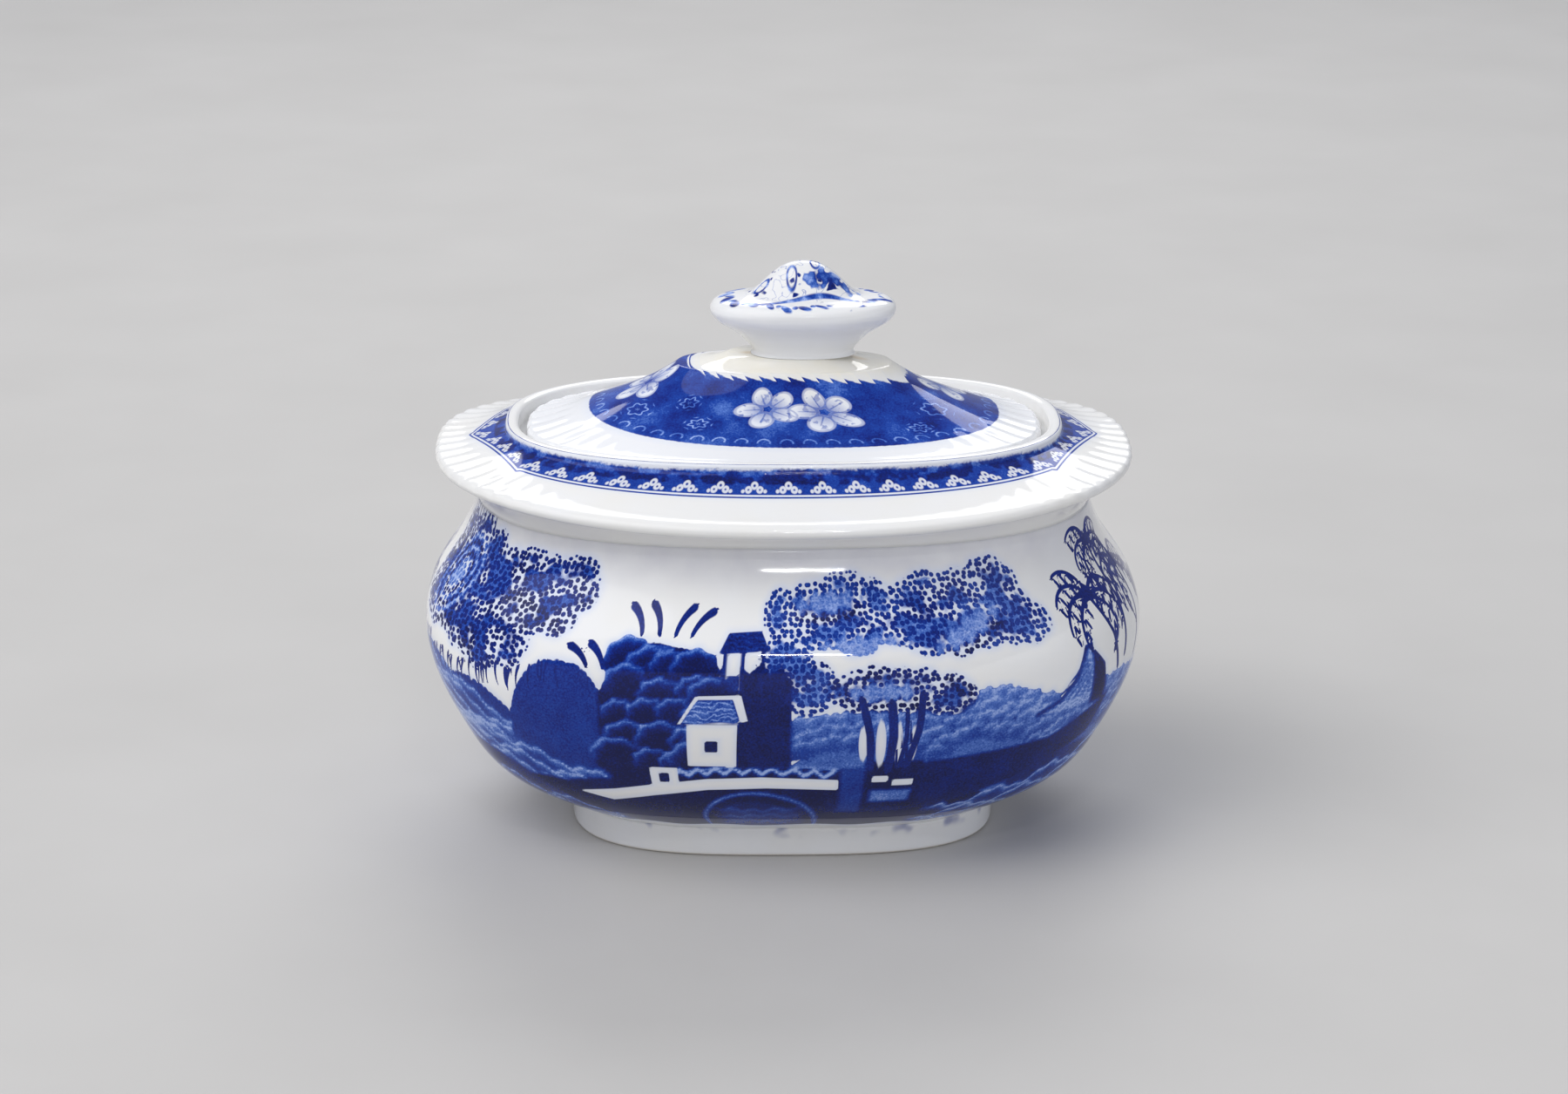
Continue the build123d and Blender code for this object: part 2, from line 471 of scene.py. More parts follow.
def turned_piece(name, rows, columns, pitch_row, closed=False, flutes=0, side_share=1.0):
    """An oval piece, rolled up from its rows.

    A row is (half length, half width, height, squareness, dip, lift, spread):
    dip lowers the long sides, and lift and spread are how far each flute stands
    up and out. pitch_row is the row whose outline the columns divide evenly,
    and side_share is how much of the flutes is left along the long sides.
    Lengths are in metres.
    """
    rows = np.array([tuple(row) + (0.0,) * (7 - len(row)) for row in rows])
    mesh, line, column = rolled_sheet(name, len(rows), columns, closed)
    row = line % len(rows)
    a, b, z, square, dip, lift, spread = rows.T
    angles, run = even_angles(a[pitch_row], b[pitch_row], square[pitch_row], columns)
    along, across = superellipse(angles[column % columns], square[row])
    flute = np.zeros(len(column))
    if flutes:
        flute = np.sqrt(np.sin(np.pi * flutes * column / columns) ** 2 + GROOVE_SOFTNESS)
    ends = np.clip((np.abs(along) - FLUTES_FROM) / FLUTES_FADE, 0, 1)
    strength = side_share + (1 - side_share) * ends * ends * (3 - 2 * ends)
    flute = FLUTE_LEVEL + (flute - FLUTE_LEVEL) * strength
    out = np.hypot(along, across)
    x = a[row] * along + spread[row] * flute * along / out
    y = b[row] * across + spread[row] * flute * across / out
    height = z[row] - dip[row] * (1 - along**2) + lift[row] * (flute - FLUTE_LEVEL)
    mesh.vertices.foreach_set("co", np.column_stack([x, y, height]).ravel())
    climb = np.concatenate([[0], np.cumsum(np.hypot(np.diff((a + b) / 2), np.diff(z)))])
    climb = np.append(climb, climb[-1] + MAP_MARGIN)
    corners = np.empty(len(mesh.loops), int)
    mesh.loops.foreach_get("vertex_index", corners)
    around = (column[corners] / columns - 0.5) * run / MM
    places = np.column_stack([around, climb[line[corners]] / MM])
    mesh.uv_layers.new(name="around")
    mesh.uv_layers["around"].data.foreach_set("uv", places.ravel())
    bm = bmesh.new()
    bm.from_mesh(mesh)
    bmesh.ops.remove_doubles(bm, verts=bm.verts, dist=WELD)
    bmesh.ops.recalc_face_normals(bm, faces=bm.faces)
    bm.to_mesh(mesh)
    bm.free()
    mesh.shade_smooth()
    piece = bpy.data.objects.new(name, mesh)
    bpy.context.collection.objects.link(piece)
    print(name, "rows", len(rows), "columns", columns, "faces", len(mesh.polygons))
    return piece, run


def points_of(mesh):
    """Where the mesh's points are, in millimetres."""
    points = np.empty(len(mesh.vertices) * 3)
    mesh.vertices.foreach_get("co", points)
    return points.reshape(-1, 3) / MM


# %% [markdown]
# ## The foot ring
# The bowl stands on a low ring of clay, a little wider where it meets the body.
# Its profile is a closed loop, so turning it makes a closed ring. The edges are
# eased, because a glazed edge is never sharp.

# %% Foot ring
FOOT_SQUARE = 3.0
foot_flare = 0.8 * MM
foot_wall = 4.5 * MM
ease = 0.6 * MM
ground_a = foot_a - foot_flare
ground_b = foot_b - foot_flare


def foot_row(inset, height, flare=0.0):
    """A row of the foot ring, moved in from its outer face."""
    return (ground_a - inset + flare, ground_b - inset + flare, height, FOOT_SQUARE)


foot_rows = [
    foot_row(ease, ground_z),
    foot_row(0.15 * MM, ground_z + 0.2 * MM),
    foot_row(0, ground_z + ease),
]
for share in np.linspace(0.15, 1, 9):
    foot_rows.append(foot_row(0, ground_z + share * foot_z, foot_flare * share**2))
foot_rows += [
    foot_row(foot_wall / 2, foot_z - 0.2 * MM),
    foot_row(foot_wall, base_z + 0.3 * MM),
    foot_row(foot_wall, ground_z + ease),
    foot_row(foot_wall - ease, ground_z),
]
foot_piece, _ = turned_piece("foot", foot_rows, 320, 2, closed=True)

# %% [markdown]
# ## The body
# The body swells from the foot to the belly and draws in to the neck. Its
# outside is divided finely, because the printed landscape is stored on its
# points; the inside only has to be smooth. The curve through a few heights and
# half lengths is the same one the solid was built with.

# %% Body
BODY_COLUMNS = 620
PRINT_ROWS = 140
INSIDE_ROWS = 14
BELLY_SQUARE = 2.6
NECK_SQUARE = 2.5
wall = 4.0 * MM
floor_z = base_z + 4.0 * MM
belly_z = 44.0 * MM
neck_in_a = 9.0 * MM
neck_in_b = 8.0 * MM
neck_a = rim_a - neck_in_a
neck_b = rim_b - neck_in_b
swell_heights = np.array([0.0, 0.178, 0.461, 0.730, 1.0])
swell_reach = np.array([0.0, 0.423, 0.739, 0.912, 1.0])
narrow_heights = np.array([0.345, 0.690, 1.0])
narrow_reach = np.array([0.154, 0.692, 1.0])
knots = np.concatenate([
    foot_z + (belly_z - foot_z) * swell_heights,
    belly_z + (neck_z - belly_z) * narrow_heights,
])


def body_knots(foot_half, belly_half, neck_half):
    """Half sizes at the knots, from foot to belly to neck."""
    up = foot_half + (belly_half - foot_half) * swell_reach
    over = belly_half + (neck_half - belly_half) * narrow_reach
    return np.concatenate([up, over])


def squareness(heights):
    """How square the body's outline is at those heights: the foot is the squarest."""
    return np.interp(heights, [foot_z, belly_z, neck_z], [FOOT_SQUARE, BELLY_SQUARE, NECK_SQUARE])


def body_rows(heights, inset=0.0):
    """Rows of the body's wall at those heights."""
    a = smooth_curve(knots, body_knots(foot_a, belly_a, neck_a), heights) - inset
    b = smooth_curve(knots, body_knots(foot_b, belly_b, neck_b), heights) - inset
    return list(zip(a, b, heights, squareness(heights)))


# Even steps along the curve, not in height
probe = np.linspace(foot_z, neck_z, 400)
probe_rows = np.array(body_rows(probe))
probe_run = np.concatenate([[0], np.cumsum(np.hypot(np.diff(probe_rows[:, 0]), np.diff(probe)))])
outside = body_rows(np.interp(np.linspace(0, probe_run[-1], PRINT_ROWS), probe_run, probe))
inside = body_rows(np.linspace(neck_z, knots[1], INSIDE_ROWS), wall)
base_rows = [(0, 0, base_z, FOOT_SQUARE), (foot_a - 3 * MM, foot_b - 3 * MM, base_z, FOOT_SQUARE)]
floor_a = foot_a - 3.5 * MM
floor_b = foot_b - 3.5 * MM
floor_rows = [(floor_a, floor_b, floor_z, FOOT_SQUARE), (0, 0, floor_z, FOOT_SQUARE)]
belly_row = len(base_rows) + int(np.argmin([abs(row[2] - belly_z) for row in outside]))
body_piece, body_run = turned_piece(
    "body", base_rows + outside + inside + floor_rows, BODY_COLUMNS, belly_row
)

# %% [markdown]
# ## Drawing the landscape
# The print on a pot like this is a landscape engraved with lines and dots. This
# one is made up for this bowl: a leafy bough, a round hill, bushes, a cottage
# and a ruined tower, a low bridge, a spreading tree, palms and hills. It runs
# twice round the bowl, front and back.
#
# Each shape is a signed distance, which is below zero inside it. A distance
# changes smoothly from point to point, so it can be stored on the mesh and the
# finish can still turn it into a crisp edge.

# %% Shapes
PRINT_WIDTH = body_run / MM / 2
FAR = 9.0
NOWHERE = 99.0
GOLDEN_TURN = 2.399963
random = np.random.default_rng(11)


class Shapes:
    """Distances from a piece's points. s is millimetres round from the front, h is height."""

    def __init__(self, s, h):
        self.s = s
        self.h = h

    def across(self, centre):
        """Distance round from a centre, wrapped to the nearest repeat of the print."""
        return (self.s - centre + PRINT_WIDTH / 2) % PRINT_WIDTH - PRINT_WIDTH / 2

    def oval(self, centre, height, long, tall, lean=0.0):
        """An oval that may lean."""
        x = self.across(centre)
        y = self.h - height
        c, d = math.cos(lean), math.sin(lean)
        u, v = x * c + y * d, y * c - x * d
        return (np.hypot(u / long, v / tall) - 1) * min(long, tall)

    def block(self, left, right, low, high):
        """An upright rectangle."""
        x = np.abs(self.across((left + right) / 2)) - (right - left) / 2
        y = np.abs(self.h - (low + high) / 2) - (high - low) / 2
        return np.maximum(x, y)

    def outline(self, corners):
        """Signed distance to a polygon."""
        first = corners[0][0]
        x = self.across(first)
        y = self.h
        points = [(cx - first, cy) for cx, cy in corners]
        nearest = np.full(len(x), NOWHERE)
        within = np.zeros(len(x), bool)
        for (x0, y0), (x1, y1) in zip(points, points[1:] + points[:1]):
            ex, ey = x1 - x0, y1 - y0
            t = np.clip(((x - x0) * ex + (y - y0) * ey) / (ex * ex + ey * ey), 0, 1)
            nearest = np.minimum(nearest, np.hypot(x - x0 - t * ex, y - y0 - t * ey))
            crosses = ((y0 > y) != (y1 > y)) & (x < ex * (y - y0) / (y1 - y0 + 1e-12) + x0)
            within ^= crosses
        return np.where(within, -nearest, nearest)

    def lumps(self, centre, height, long, tall, count, size, spread=1.0):
        """A mass of round clumps scattered over an oval."""
        field = self.oval(centre, height, long * 0.8, tall * 0.8)
        for turn in np.arange(count) * GOLDEN_TURN:
            far = math.sqrt(random.uniform(0.25, 1)) * spread
            r = random.uniform(0.6, 1.25) * size
            x = centre + math.cos(turn) * far * (long - r)
            y = height + math.sin(turn) * far * (tall - r)
            field = np.minimum(field, np.hypot(self.across(x), self.h - y) - r)
        return field

    def line(self, points):
        """Distance to a line through points."""
        first = points[0][0]
        x = self.across(first)
        nearest = np.full(len(x), NOWHERE)
        for (x0, y0), (x1, y1) in zip(points, points[1:]):
            ex, ey = x1 - x0, y1 - y0
            t = np.clip(((x - x0 + first) * ex + (self.h - y0) * ey) / (ex * ex + ey * ey), 0, 1)
            nearest = np.minimum(nearest, np.hypot(x - x0 + first - t * ex, self.h - y0 - t * ey))
        return nearest

# %% [markdown]
# ## Laying ink
# The shapes are combined in order, as paint is laid on: ink takes the lesser of
# two distances, and a white shape cuts the ink away. How dark the ink is, and
# whether it stands for leaves or for ruled lines, is kept beside it. Trunks and
# twigs are hardly wider than the gap between two points, so a stroke stores
# which side of it a point is on, and the finish finds the line between them.

# %% Laying ink
LAY_SOFTNESS = 0.8
SHADE_SOFTNESS = 0.9
RUFFLE = 0.26
RUFFLES = 8


class Canvas(Shapes):
    """Ink over a piece's points."""

    def __init__(self, s, h):
        super().__init__(s, h)
        self.shape = np.full(len(s), FAR)
        self.tone = np.full(len(s), 0.5)
        self.leafy = np.zeros(len(s))
        self.lined = np.zeros(len(s))
        self.side = np.full(len(s), FAR)
        self.near = np.full(len(s), FAR)

    def lay(self, field, tone, leafy=0.0, lined=0.0):
        """Inks a shape over what is there."""
        cover = np.clip(0.5 - field / LAY_SOFTNESS, 0, 1)
        self.shape = np.minimum(self.shape, field)
        self.tone = self.tone * (1 - cover) + tone * cover
        self.leafy = self.leafy * (1 - cover) + leafy * cover
        self.lined = self.lined * (1 - cover) + lined * cover
        self.near = np.maximum(self.near, cover * FAR)

    def cut(self, field):
        """Leaves a shape white."""
        self.shape = np.maximum(self.shape, -field)
        self.near = np.where(field < 0, FAR, self.near)

    def shade(self, field, tone, lined=None, amount=1.0):
        """Changes the darkness inside a shape without adding ink."""
        cover = np.clip(0.5 - field / SHADE_SOFTNESS, 0, 1) * amount
        self.tone = self.tone * (1 - cover) + tone * cover
        if lined is not None:
            self.lined = self.lined * (1 - cover) + lined * cover

    def clump(self, centre, height, long, tall, dark, light, leafy=0.0):
        """One rounded clump, lit along its upper left edge and dark below."""
        field = self.oval(centre, height, long, tall)
        turn = np.arctan2((self.h - height) / tall, self.across(centre) / long)
        field = field + RUFFLE * np.sin(turn * RUFFLES + centre)
        lean = (self.h - height) / tall * 0.9 - self.across(centre) / long * 0.35
        glow = np.exp(np.minimum(field, 0) / 0.9) * np.clip(lean + 0.15, 0, 1)
        self.lay(field, dark - (dark - light) * glow, leafy)

    def waves(self, left, right, start, slope, count, gap, light, swing=0.8):
        """Light wavering edges across ink, each fading downwards."""
        x = self.across((left + right) / 2) + (right - left) / 2
        within = np.clip(np.minimum(x, right - left - x) / 5, 0, 1)
        for i in range(count):
            edge = start - i * gap + slope * x
            edge = edge + swing * np.sin(x * 0.42 + i * 2.1) + 0.4 * np.sin(x * 1.3 + i)
            below = edge - self.h
            glow = np.where(below > 0, np.exp(-below / 1.1), np.exp(below / 0.35)) * within
            self.tone = self.tone - np.maximum(self.tone - light, 0) * glow * (self.leafy < 0.5)

    def stroke(self, points, width, taper=0.0):
        """A thin line through points, kept as a signed distance so that it stays thin."""
        first = points[0][0]
        x = self.across(first)
        y = self.h
        steps = len(points) - 1
        for i in range(steps):
            x0, y0 = points[i][0] - first, points[i][1]
            ex, ey = points[i + 1][0] - first - x0, points[i + 1][1] - y0
            t = np.clip(((x - x0) * ex + (y - y0) * ey) / (ex * ex + ey * ey + 1e-12), 0, 1)
            dx, dy = x - x0 - t * ex, y - y0 - t * ey
            half = width / 2 * (1 - taper * (i + t) / steps)
            away = np.hypot(dx, dy) - half
            sign = np.sign(ex * dy - ey * dx)
            closer = away < self.near
            self.side = np.where(closer, sign * (away + half) / half, self.side)
            self.near = np.where(closer, away, self.near)


def arc_points(start, direction, length, bend, count=6):
    """Points of a curved stroke that starts in a direction and bends as it goes."""
    x, y = start
    points = [(x, y)]
    for _ in range(count):
        x += math.cos(direction) * length / count
        y += math.sin(direction) * length / count
        points.append((x, y))
        direction += bend / count
    return points


# %% [markdown]
# ## The landscape, far things first
# Places are millimetres round from the middle of the front, and heights above
# the table. The body's outline changes with height, so the distance round is
# read from each point's angle as if it lay on the belly, which keeps upright
# things upright all the way up.

# %% Places on the body
body_mesh = body_piece.data
body_points = points_of(body_mesh)
plan_angles, _ = even_angles(belly_a, belly_b, BELLY_SQUARE, BODY_COLUMNS)


def outline_at(heights):
    """Half length and half width in millimetres, and squareness, at heights in millimetres."""
    a = np.interp(heights * MM, probe, probe_rows[:, 0]) / MM
    b = np.interp(heights * MM, probe, probe_rows[:, 1]) / MM
    return a, b, squareness(heights * MM)


def round_distance(points):
    """Millimetres round the belly from the front, for each of the body's points."""
    a, b, square = outline_at(points[:, 2])
    along = np.abs(np.clip(points[:, 0] / a, -1, 1)) ** (square / 2)
    across = np.abs(np.clip(points[:, 1] / b, -1, 1)) ** (square / 2)
    angle = np.arctan2(across * np.sign(points[:, 1]), along * np.sign(points[:, 0]))
    angle = (angle - np.pi / 2) % (2 * np.pi) + np.pi / 2
    steps_round = np.arange(BODY_COLUMNS) / BODY_COLUMNS * body_run / MM
    return np.interp(angle, plan_angles, steps_round) - body_run / MM / 2


canvas = Canvas(round_distance(body_points), body_points[:, 2])
print("points to draw on", len(canvas.s))

# %% [markdown]
# ## Hills and banks
# Hills come first, then what stands before them. A hill is a curve with ink
# under it, drawn over with light wavering edges that fade downwards. The far
# hills on the right are rows of small bushes, each lit along its top.

# %% Hills and banks
BUSH_STEP = 3.6
BUSH_ROW = 2.7


def ridge(centre, half, top, foot, power=2.0):
    """A hill: below zero under its crest."""
    x = np.abs(canvas.across(centre)) / half
    crest = foot + (top - foot) * np.clip(1 - x**power, 0, 1) ** 0.7
    return np.where(x < 1, canvas.h - crest, 4.0) * 0.8


def bushy_ridge(left, right, low, crest, rows, dark, light):
    """Rows of small bushes one below the other, each row lit along its top."""
    for row in range(rows):
        for i in range(int((right - left) / BUSH_STEP) + 1):
            x = left + i * BUSH_STEP + (row % 2) * BUSH_STEP / 2 + random.uniform(-0.6, 0.6)
            share = (x - left) / (right - left)
            top = low + crest * math.sin(math.pi * min(max(share, 0), 1)) ** 0.8 - row * BUSH_ROW
            size = random.uniform(2.0, 2.8)
            canvas.clump(x, top + random.uniform(-0.5, 0.5), size * 1.15, size, dark + row * 0.05, light)


canvas.lay(ridge(-92, 28, 45, 20), 0.58, leafy=0.4)
canvas.lay(ridge(-74, 24, 42, 16), 0.64, leafy=0.4)
canvas.waves(-106, -46, 54, -0.46, 11, 3.1, -0.10)
canvas.lay(ridge(-49, 15, 49.5, 20, 2.6) - 0.4, 0.64, leafy=0.35)
canvas.lay(ridge(-66, 26, 29, 8, 1.6), 0.72)
canvas.waves(-92, -36, 36, -0.26, 7, 2.9, -0.08)
canvas.lay(ridge(36, 40, 39, 20, 2.4), 0.34)
canvas.lay(ridge(80, 26, 39, 20), 0.38)
bushy_ridge(24, 60, 37.5, 4.5, 4, 0.36, -0.15)
bushy_ridge(56, 100, 35, 4.0, 4, 0.40, -0.12)
bushy_ridge(-1, 32, 34.5, 4.0, 3, 0.42, -0.10)
print("hills drawn")

# %% [markdown]
# ## Boughs, bushes and the great tree
# Foliage is a mass of round clumps with lighter and darker places in it, and
# its edge breaks up into leaves in the finish. Pale lenses of large leaves lie
# in it over a dark bough. The tall bush is drawn clump by clump from the top
# down, so that each clump covers the foot of the one behind.


# %% Boughs, bushes and the great tree
BUSH_SHOULDERS = ((-1.05, 0.9), (-0.7, 0.25), (-0.2, 0.0), (0.45, 0.1), (1.0, 0.55))


def leafy_tree(centre, height, long, tall, count, size, tone):
    """Foliage: clumps in ink with lighter and darker places inside."""
    canvas.lay(canvas.lumps(centre, height, long, tall, count, size), tone, leafy=1.0)
    for turn in np.arange(count // 2) * GOLDEN_TURN + 0.7:
        far = math.sqrt(random.uniform(0, 0.8))
        x = centre + math.cos(turn) * far * long * 0.8
        y = height + math.sin(turn) * far * tall * 0.8
        spot_tone = tone + random.uniform(-0.14, 0.2)
        canvas.shade(canvas.oval(x, y, size * 1.1, size * 0.6), spot_tone, amount=0.7)


def leaf_patch(centre, height, long, tall, lean):
    """A pale lens of large leaves in the foliage, with a dark bough under it."""
    canvas.shade(canvas.oval(centre + 0.8, height - tall * 0.9, long * 1.15, tall * 1.1, lean), 0.86)
    lens = canvas.oval(centre, height, long, tall, lean)
    lens = lens + 0.45 * np.sin(canvas.s * 1.7 + height) + 0.3 * np.sin(canvas.s * 3.1 + canvas.h * 2)
    canvas.shade(lens, 0.14)
    canvas.leafy *= np.clip(0.5 + lens / 0.7, 0.50, 1)


def clumped_bush(centre, top, half, low, size, dark, light):
    """A tall dark bush: rows of clumps from the top down, each over the one behind."""
    corners = [(centre - half, low)]
    corners += [(centre + half * side, top - half * down) for side, down in BUSH_SHOULDERS]
    corners.append((centre + half * 0.95, low))
    canvas.lay(canvas.outline(corners), dark, leafy=0.3)
    rows = int((top - low) / (size * 1.3))
    for row in range(rows):
        y = top - size * 1.0 - row * size * 1.3
        narrow = 0.55 if row == 0 else 0.84
        for i in range(4):
            x = centre + half * narrow * (i - 1.5 + 0.5 * (row % 2)) / 1.7 + random.uniform(-1.3, 1.3)
            if abs(x - centre) < half * 0.95:
                r = size * random.uniform(0.7, 1.2)
                level = y + random.uniform(-1.5, 1.5)
                canvas.clump(x, level, r * random.uniform(1.0, 1.35), r, dark, light)


for spot in (
    (-87, 61, 21, 13, 34, 4.4), (-62, 61, 17, 9.5, 26, 3.8), (-54, 64, 11, 6.5, 16, 3.0),
    (-68, 52, 14, 8, 20, 3.2),
):
    leafy_tree(*spot, 0.74)
canvas.shade(canvas.oval(-88, 60, 8.5, 7.0, 0.9), 0.92)
for ring in (6.8, 4.6, 2.4):
    canvas.shade(np.abs(canvas.oval(-87, 60, ring * 1.25, ring, 0.9)) - 0.45, 0.05)
canvas.shade(canvas.oval(-87, 60, 2.6, 2.0, 0.9), 0.12)
for spot in (
    (13, 60.5, 20, 8.5, 34, 3.6), (37, 60, 21, 9.5, 40, 3.8), (49, 65, 7, 5.5, 14, 2.6),
    (52, 57, 8, 5, 14, 2.6), (-1, 51, 7, 7, 14, 2.8), (4, 46, 8, 7.5, 18, 2.8),
):
    leafy_tree(*spot, 0.56)
for spot in ((21, 45, 14, 6, 24, 2.8), (33, 43.5, 7, 5, 14, 2.6)):
    leafy_tree(*spot, 0.74)
for spot in (
    (9, 62.5, 6.5, 1.9, 0.08), (16, 54, 9, 2.2, 0.06), (40, 56.5, 8, 1.9, 0.42),
    (19.5, 44.5, 7.5, 1.9, 0.0),
):
    leaf_patch(*spot)
clumped_bush(-27, 55, 12.5, 22, 4.5, 1.0, -0.25)
print("trees drawn")

# %% [markdown]
# ## Ground, water and the bridge
# The ground is nearly black and carries the eye round the pot. The bridge is
# the white of the pot left between darks: a dark band is laid first, rails are
# drawn in it, and the deck is cut out. Its arch is laid over that, with the
# light of the water inside it.

# %% Ground, water and the bridge
ground_crest = 19.5 + 1.6 * np.sin(canvas.s / PRINT_WIDTH * 2 * np.pi * 3 + 1.2)
ground_crest += 1.0 * np.sin(canvas.s / PRINT_WIDTH * 2 * np.pi * 7)
canvas.lay(canvas.h - ground_crest, 0.99)
near_bank = [(8, 24), (30, 27.5), (60, 30), (76, 37), (74, 28), (60, 22), (30, 14), (8, 14)]
canvas.lay(canvas.outline(near_bank), 0.90)
canvas.lay(ridge(72, 34, 26, 6, 1.6), 0.82)
canvas.waves(32, 104, 13, 0.24, 7, 3.2, -0.10, 1.0)
canvas.lay(ridge(-78, 30, 25, 6, 1.6), 0.84)
canvas.waves(-106, -44, 27, -0.26, 6, 3.0, 0.0, 1.0)

deck = canvas.outline([
    (-50, 18.4), (-40, 19.8), (-29, 21.8), (-17, 23.5), (-5, 24.0), (10, 23.2), (10, 20.8),
    (-4, 21.4), (-17, 20.9), (-30, 19.0), (-42, 16.8),
])
canvas.lay(deck - 3.0, 0.98)
zigzag = []
for i in range(18):
    arched = 1.4 * math.sin((i + 2) / 20 * math.pi)
    zigzag.append((-25 + i * 2.0, 23.6 + 1.7 * (i % 2) + arched))
canvas.shade(canvas.line(zigzag) - 0.45, -0.3)
canvas.shade(canvas.line([(-23, 25.2), (-14, 26.7), (-5, 27.2), (4, 26.7), (10, 26.0)]) - 0.25, 0.0)
canvas.cut(deck - 0.15)
arch = canvas.oval(-7, 9.0, 14.5, 11.8)
canvas.lay(arch, 0.99)
canvas.shade(np.abs(arch + 1.0) - 0.35, 0.10)
canvas.shade(canvas.oval(-7, 8.0, 10.5, 9.4), 0.86)
canvas.waves(-18, 4, 15, 0.0, 3, 2.2, 0.45, 0.3)
canvas.lay(canvas.block(10.5, 16, 14, 26.5), 0.60)
canvas.lay(canvas.block(16, 29, 15.5, 28), 0.97)
canvas.cut(canvas.block(17.6, 21.4, 22.6, 24.2))
canvas.cut(canvas.block(22.4, 27.4, 21.6, 23.2))
canvas.shade(canvas.block(17.6, 27.4, 17.2, 20.4), 0.25)
canvas.cut(canvas.block(-30, -23.5, 20.2, 26.4))
print("ground drawn")

# %% [markdown]
# ## The cottage and the tower
# The cottage is a white wall with a ruled roof and one window. The tower behind
# it is a dark block with a broken top, and a small open storey with three posts
# and a roof stands on it. Each is a few rectangles and polygons, with the white
# of the gaps cut before the thin parts are laid.

# %% Cottage and tower
canvas.lay(canvas.block(-10.5, 0.5, 26.5, 48), 0.93)
canvas.cut(canvas.outline([(-23, 37.4), (-19.5, 44), (-10, 44.4), (-8.2, 38.2)]))
canvas.cut(canvas.block(-21, -10.4, 27, 37.4))
canvas.lay(canvas.outline([(-22.2, 37.6), (-19.0, 43.2), (-11.6, 43.4), (-9.8, 38.2)]), 0.34, lined=1.0)
canvas.lay(canvas.block(-17.2, -14.4, 30.6, 33.4), 0.95)
broken_top = [(-10.5, 47), (-10.5, 51), (-8.5, 49), (-6, 51.5), (-4, 48.8), (-1.5, 50.5), (0.5, 47)]
canvas.lay(canvas.outline(broken_top), 0.93)
canvas.lay(canvas.block(-28.0, -25.6, 22.6, 25.0), 0.98)
canvas.cut(canvas.block(-13.6, -6.0, 50.5, 54))
canvas.lay(canvas.outline([(-15.2, 53.0), (-13.4, 57.0), (-6.2, 57.4), (-4.2, 53.6)]), 0.80, lined=0.5)
for post in (-13.7, -10.0, -5.9):
    canvas.lay(canvas.block(post - 0.45, post + 0.45, 45, 54), 0.85)
canvas.lay(canvas.block(-12.8, -10.6, 45.5, 48.6), 0.70)
print("buildings drawn")

# %% [markdown]
# ## The thatched hut and the light between the trunks
# Tall ovals are cut where light falls between the great tree's trunks. The hut
# at the right is a peaked outline, pale on its lit side with strands of thatch
# drawn down it, and dark on the other.

# %% Thatched hut and the light between the trunks
for x, half, top in ((15.2, 1.0, 37), (19.0, 1.1, 38.5), (22.9, 0.8, 38), (26.2, 0.8, 37)):
    canvas.cut(canvas.oval(x, 32.5, half, top - 32.5))
thatch = [(54.5, 36.2), (60, 38.6), (64, 43.0), (66.6, 49.2), (68.4, 49.4), (69.4, 43.5), (69.0, 36.5)]
canvas.cut(canvas.outline(thatch))
canvas.lay(canvas.outline(thatch), 0.10, lined=0.6)
canvas.lay(canvas.line(thatch[:5]) - 0.5, 0.80)
for i in range(6):
    canvas.lay(canvas.line([(66.6 + 0.3 * i, 47 - i), (58.0 + i * 2.0, 38.0 + 0.2 * i)]) - 0.22, 0.55)
canvas.lay(canvas.outline([(68.4, 49.0), (72.6, 44.5), (74.5, 36.0), (69.4, 36.0)]), 0.97)

# %% [markdown]
# ## Fine lines: trunks, palms and sprigs
# Thin things come last, over all that is laid. A palm is a leaning trunk with
# fronds that spring out from its top and droop, and each frond carries a comb
# of short leaflets. Sprigs and grasses are single strokes that bend and taper.

# %% Fine lines: trunks, palms and sprigs
FROND_START = 188
FROND_SWEEP = 196
FROND_DROOP = 2.2
UPRIGHT = 1.57


def trunk(foot_s, foot_h, top_s, top_h, bulge, width):
    """A trunk that bulges a little to one side half way up."""
    middle_s = (foot_s + top_s) / 2 + bulge
    canvas.stroke([(foot_s, foot_h), (middle_s, (foot_h + top_h) / 2), (top_s, top_h)], width)


for foot_s, foot_h, top_s, top_h, width in (
    (17.0, 26.5, 15.2, 43.0, 1.7), (21.0, 26.0, 21.4, 42.0, 2.0), (25.2, 27.0, 28.0, 44.0, 1.6),
    (23.4, 27.0, 24.6, 40.0, 1.0),
):
    trunk(foot_s, foot_h, top_s, top_h, 0.5, width)


def palm(foot_s, foot_h, top_s, top_h, fronds, length):
    """A palm: a leaning trunk and drooping fronds with a comb of leaflets below each."""
    trunk(foot_s, foot_h, top_s, top_h, 1, 0.9)
    for i in range(fronds):
        direction = math.radians(FROND_START) - math.radians(FROND_SWEEP) * i / (fronds - 1)
        reach = length * random.uniform(0.9, 1.1)
        left = direction > math.pi / 2
        inward = 1.0 if left else -1.0
        spine = arc_points((top_s, top_h), direction, reach, FROND_DROOP * inward, 11)
        canvas.stroke(spine, 1.0, taper=0.4)
        for x, y in spine[3::2]:
            canvas.stroke([(x + inward * 0.9, y - 0.9), (x + inward * 1.5, y - 2.2)], 0.8, taper=0.2)


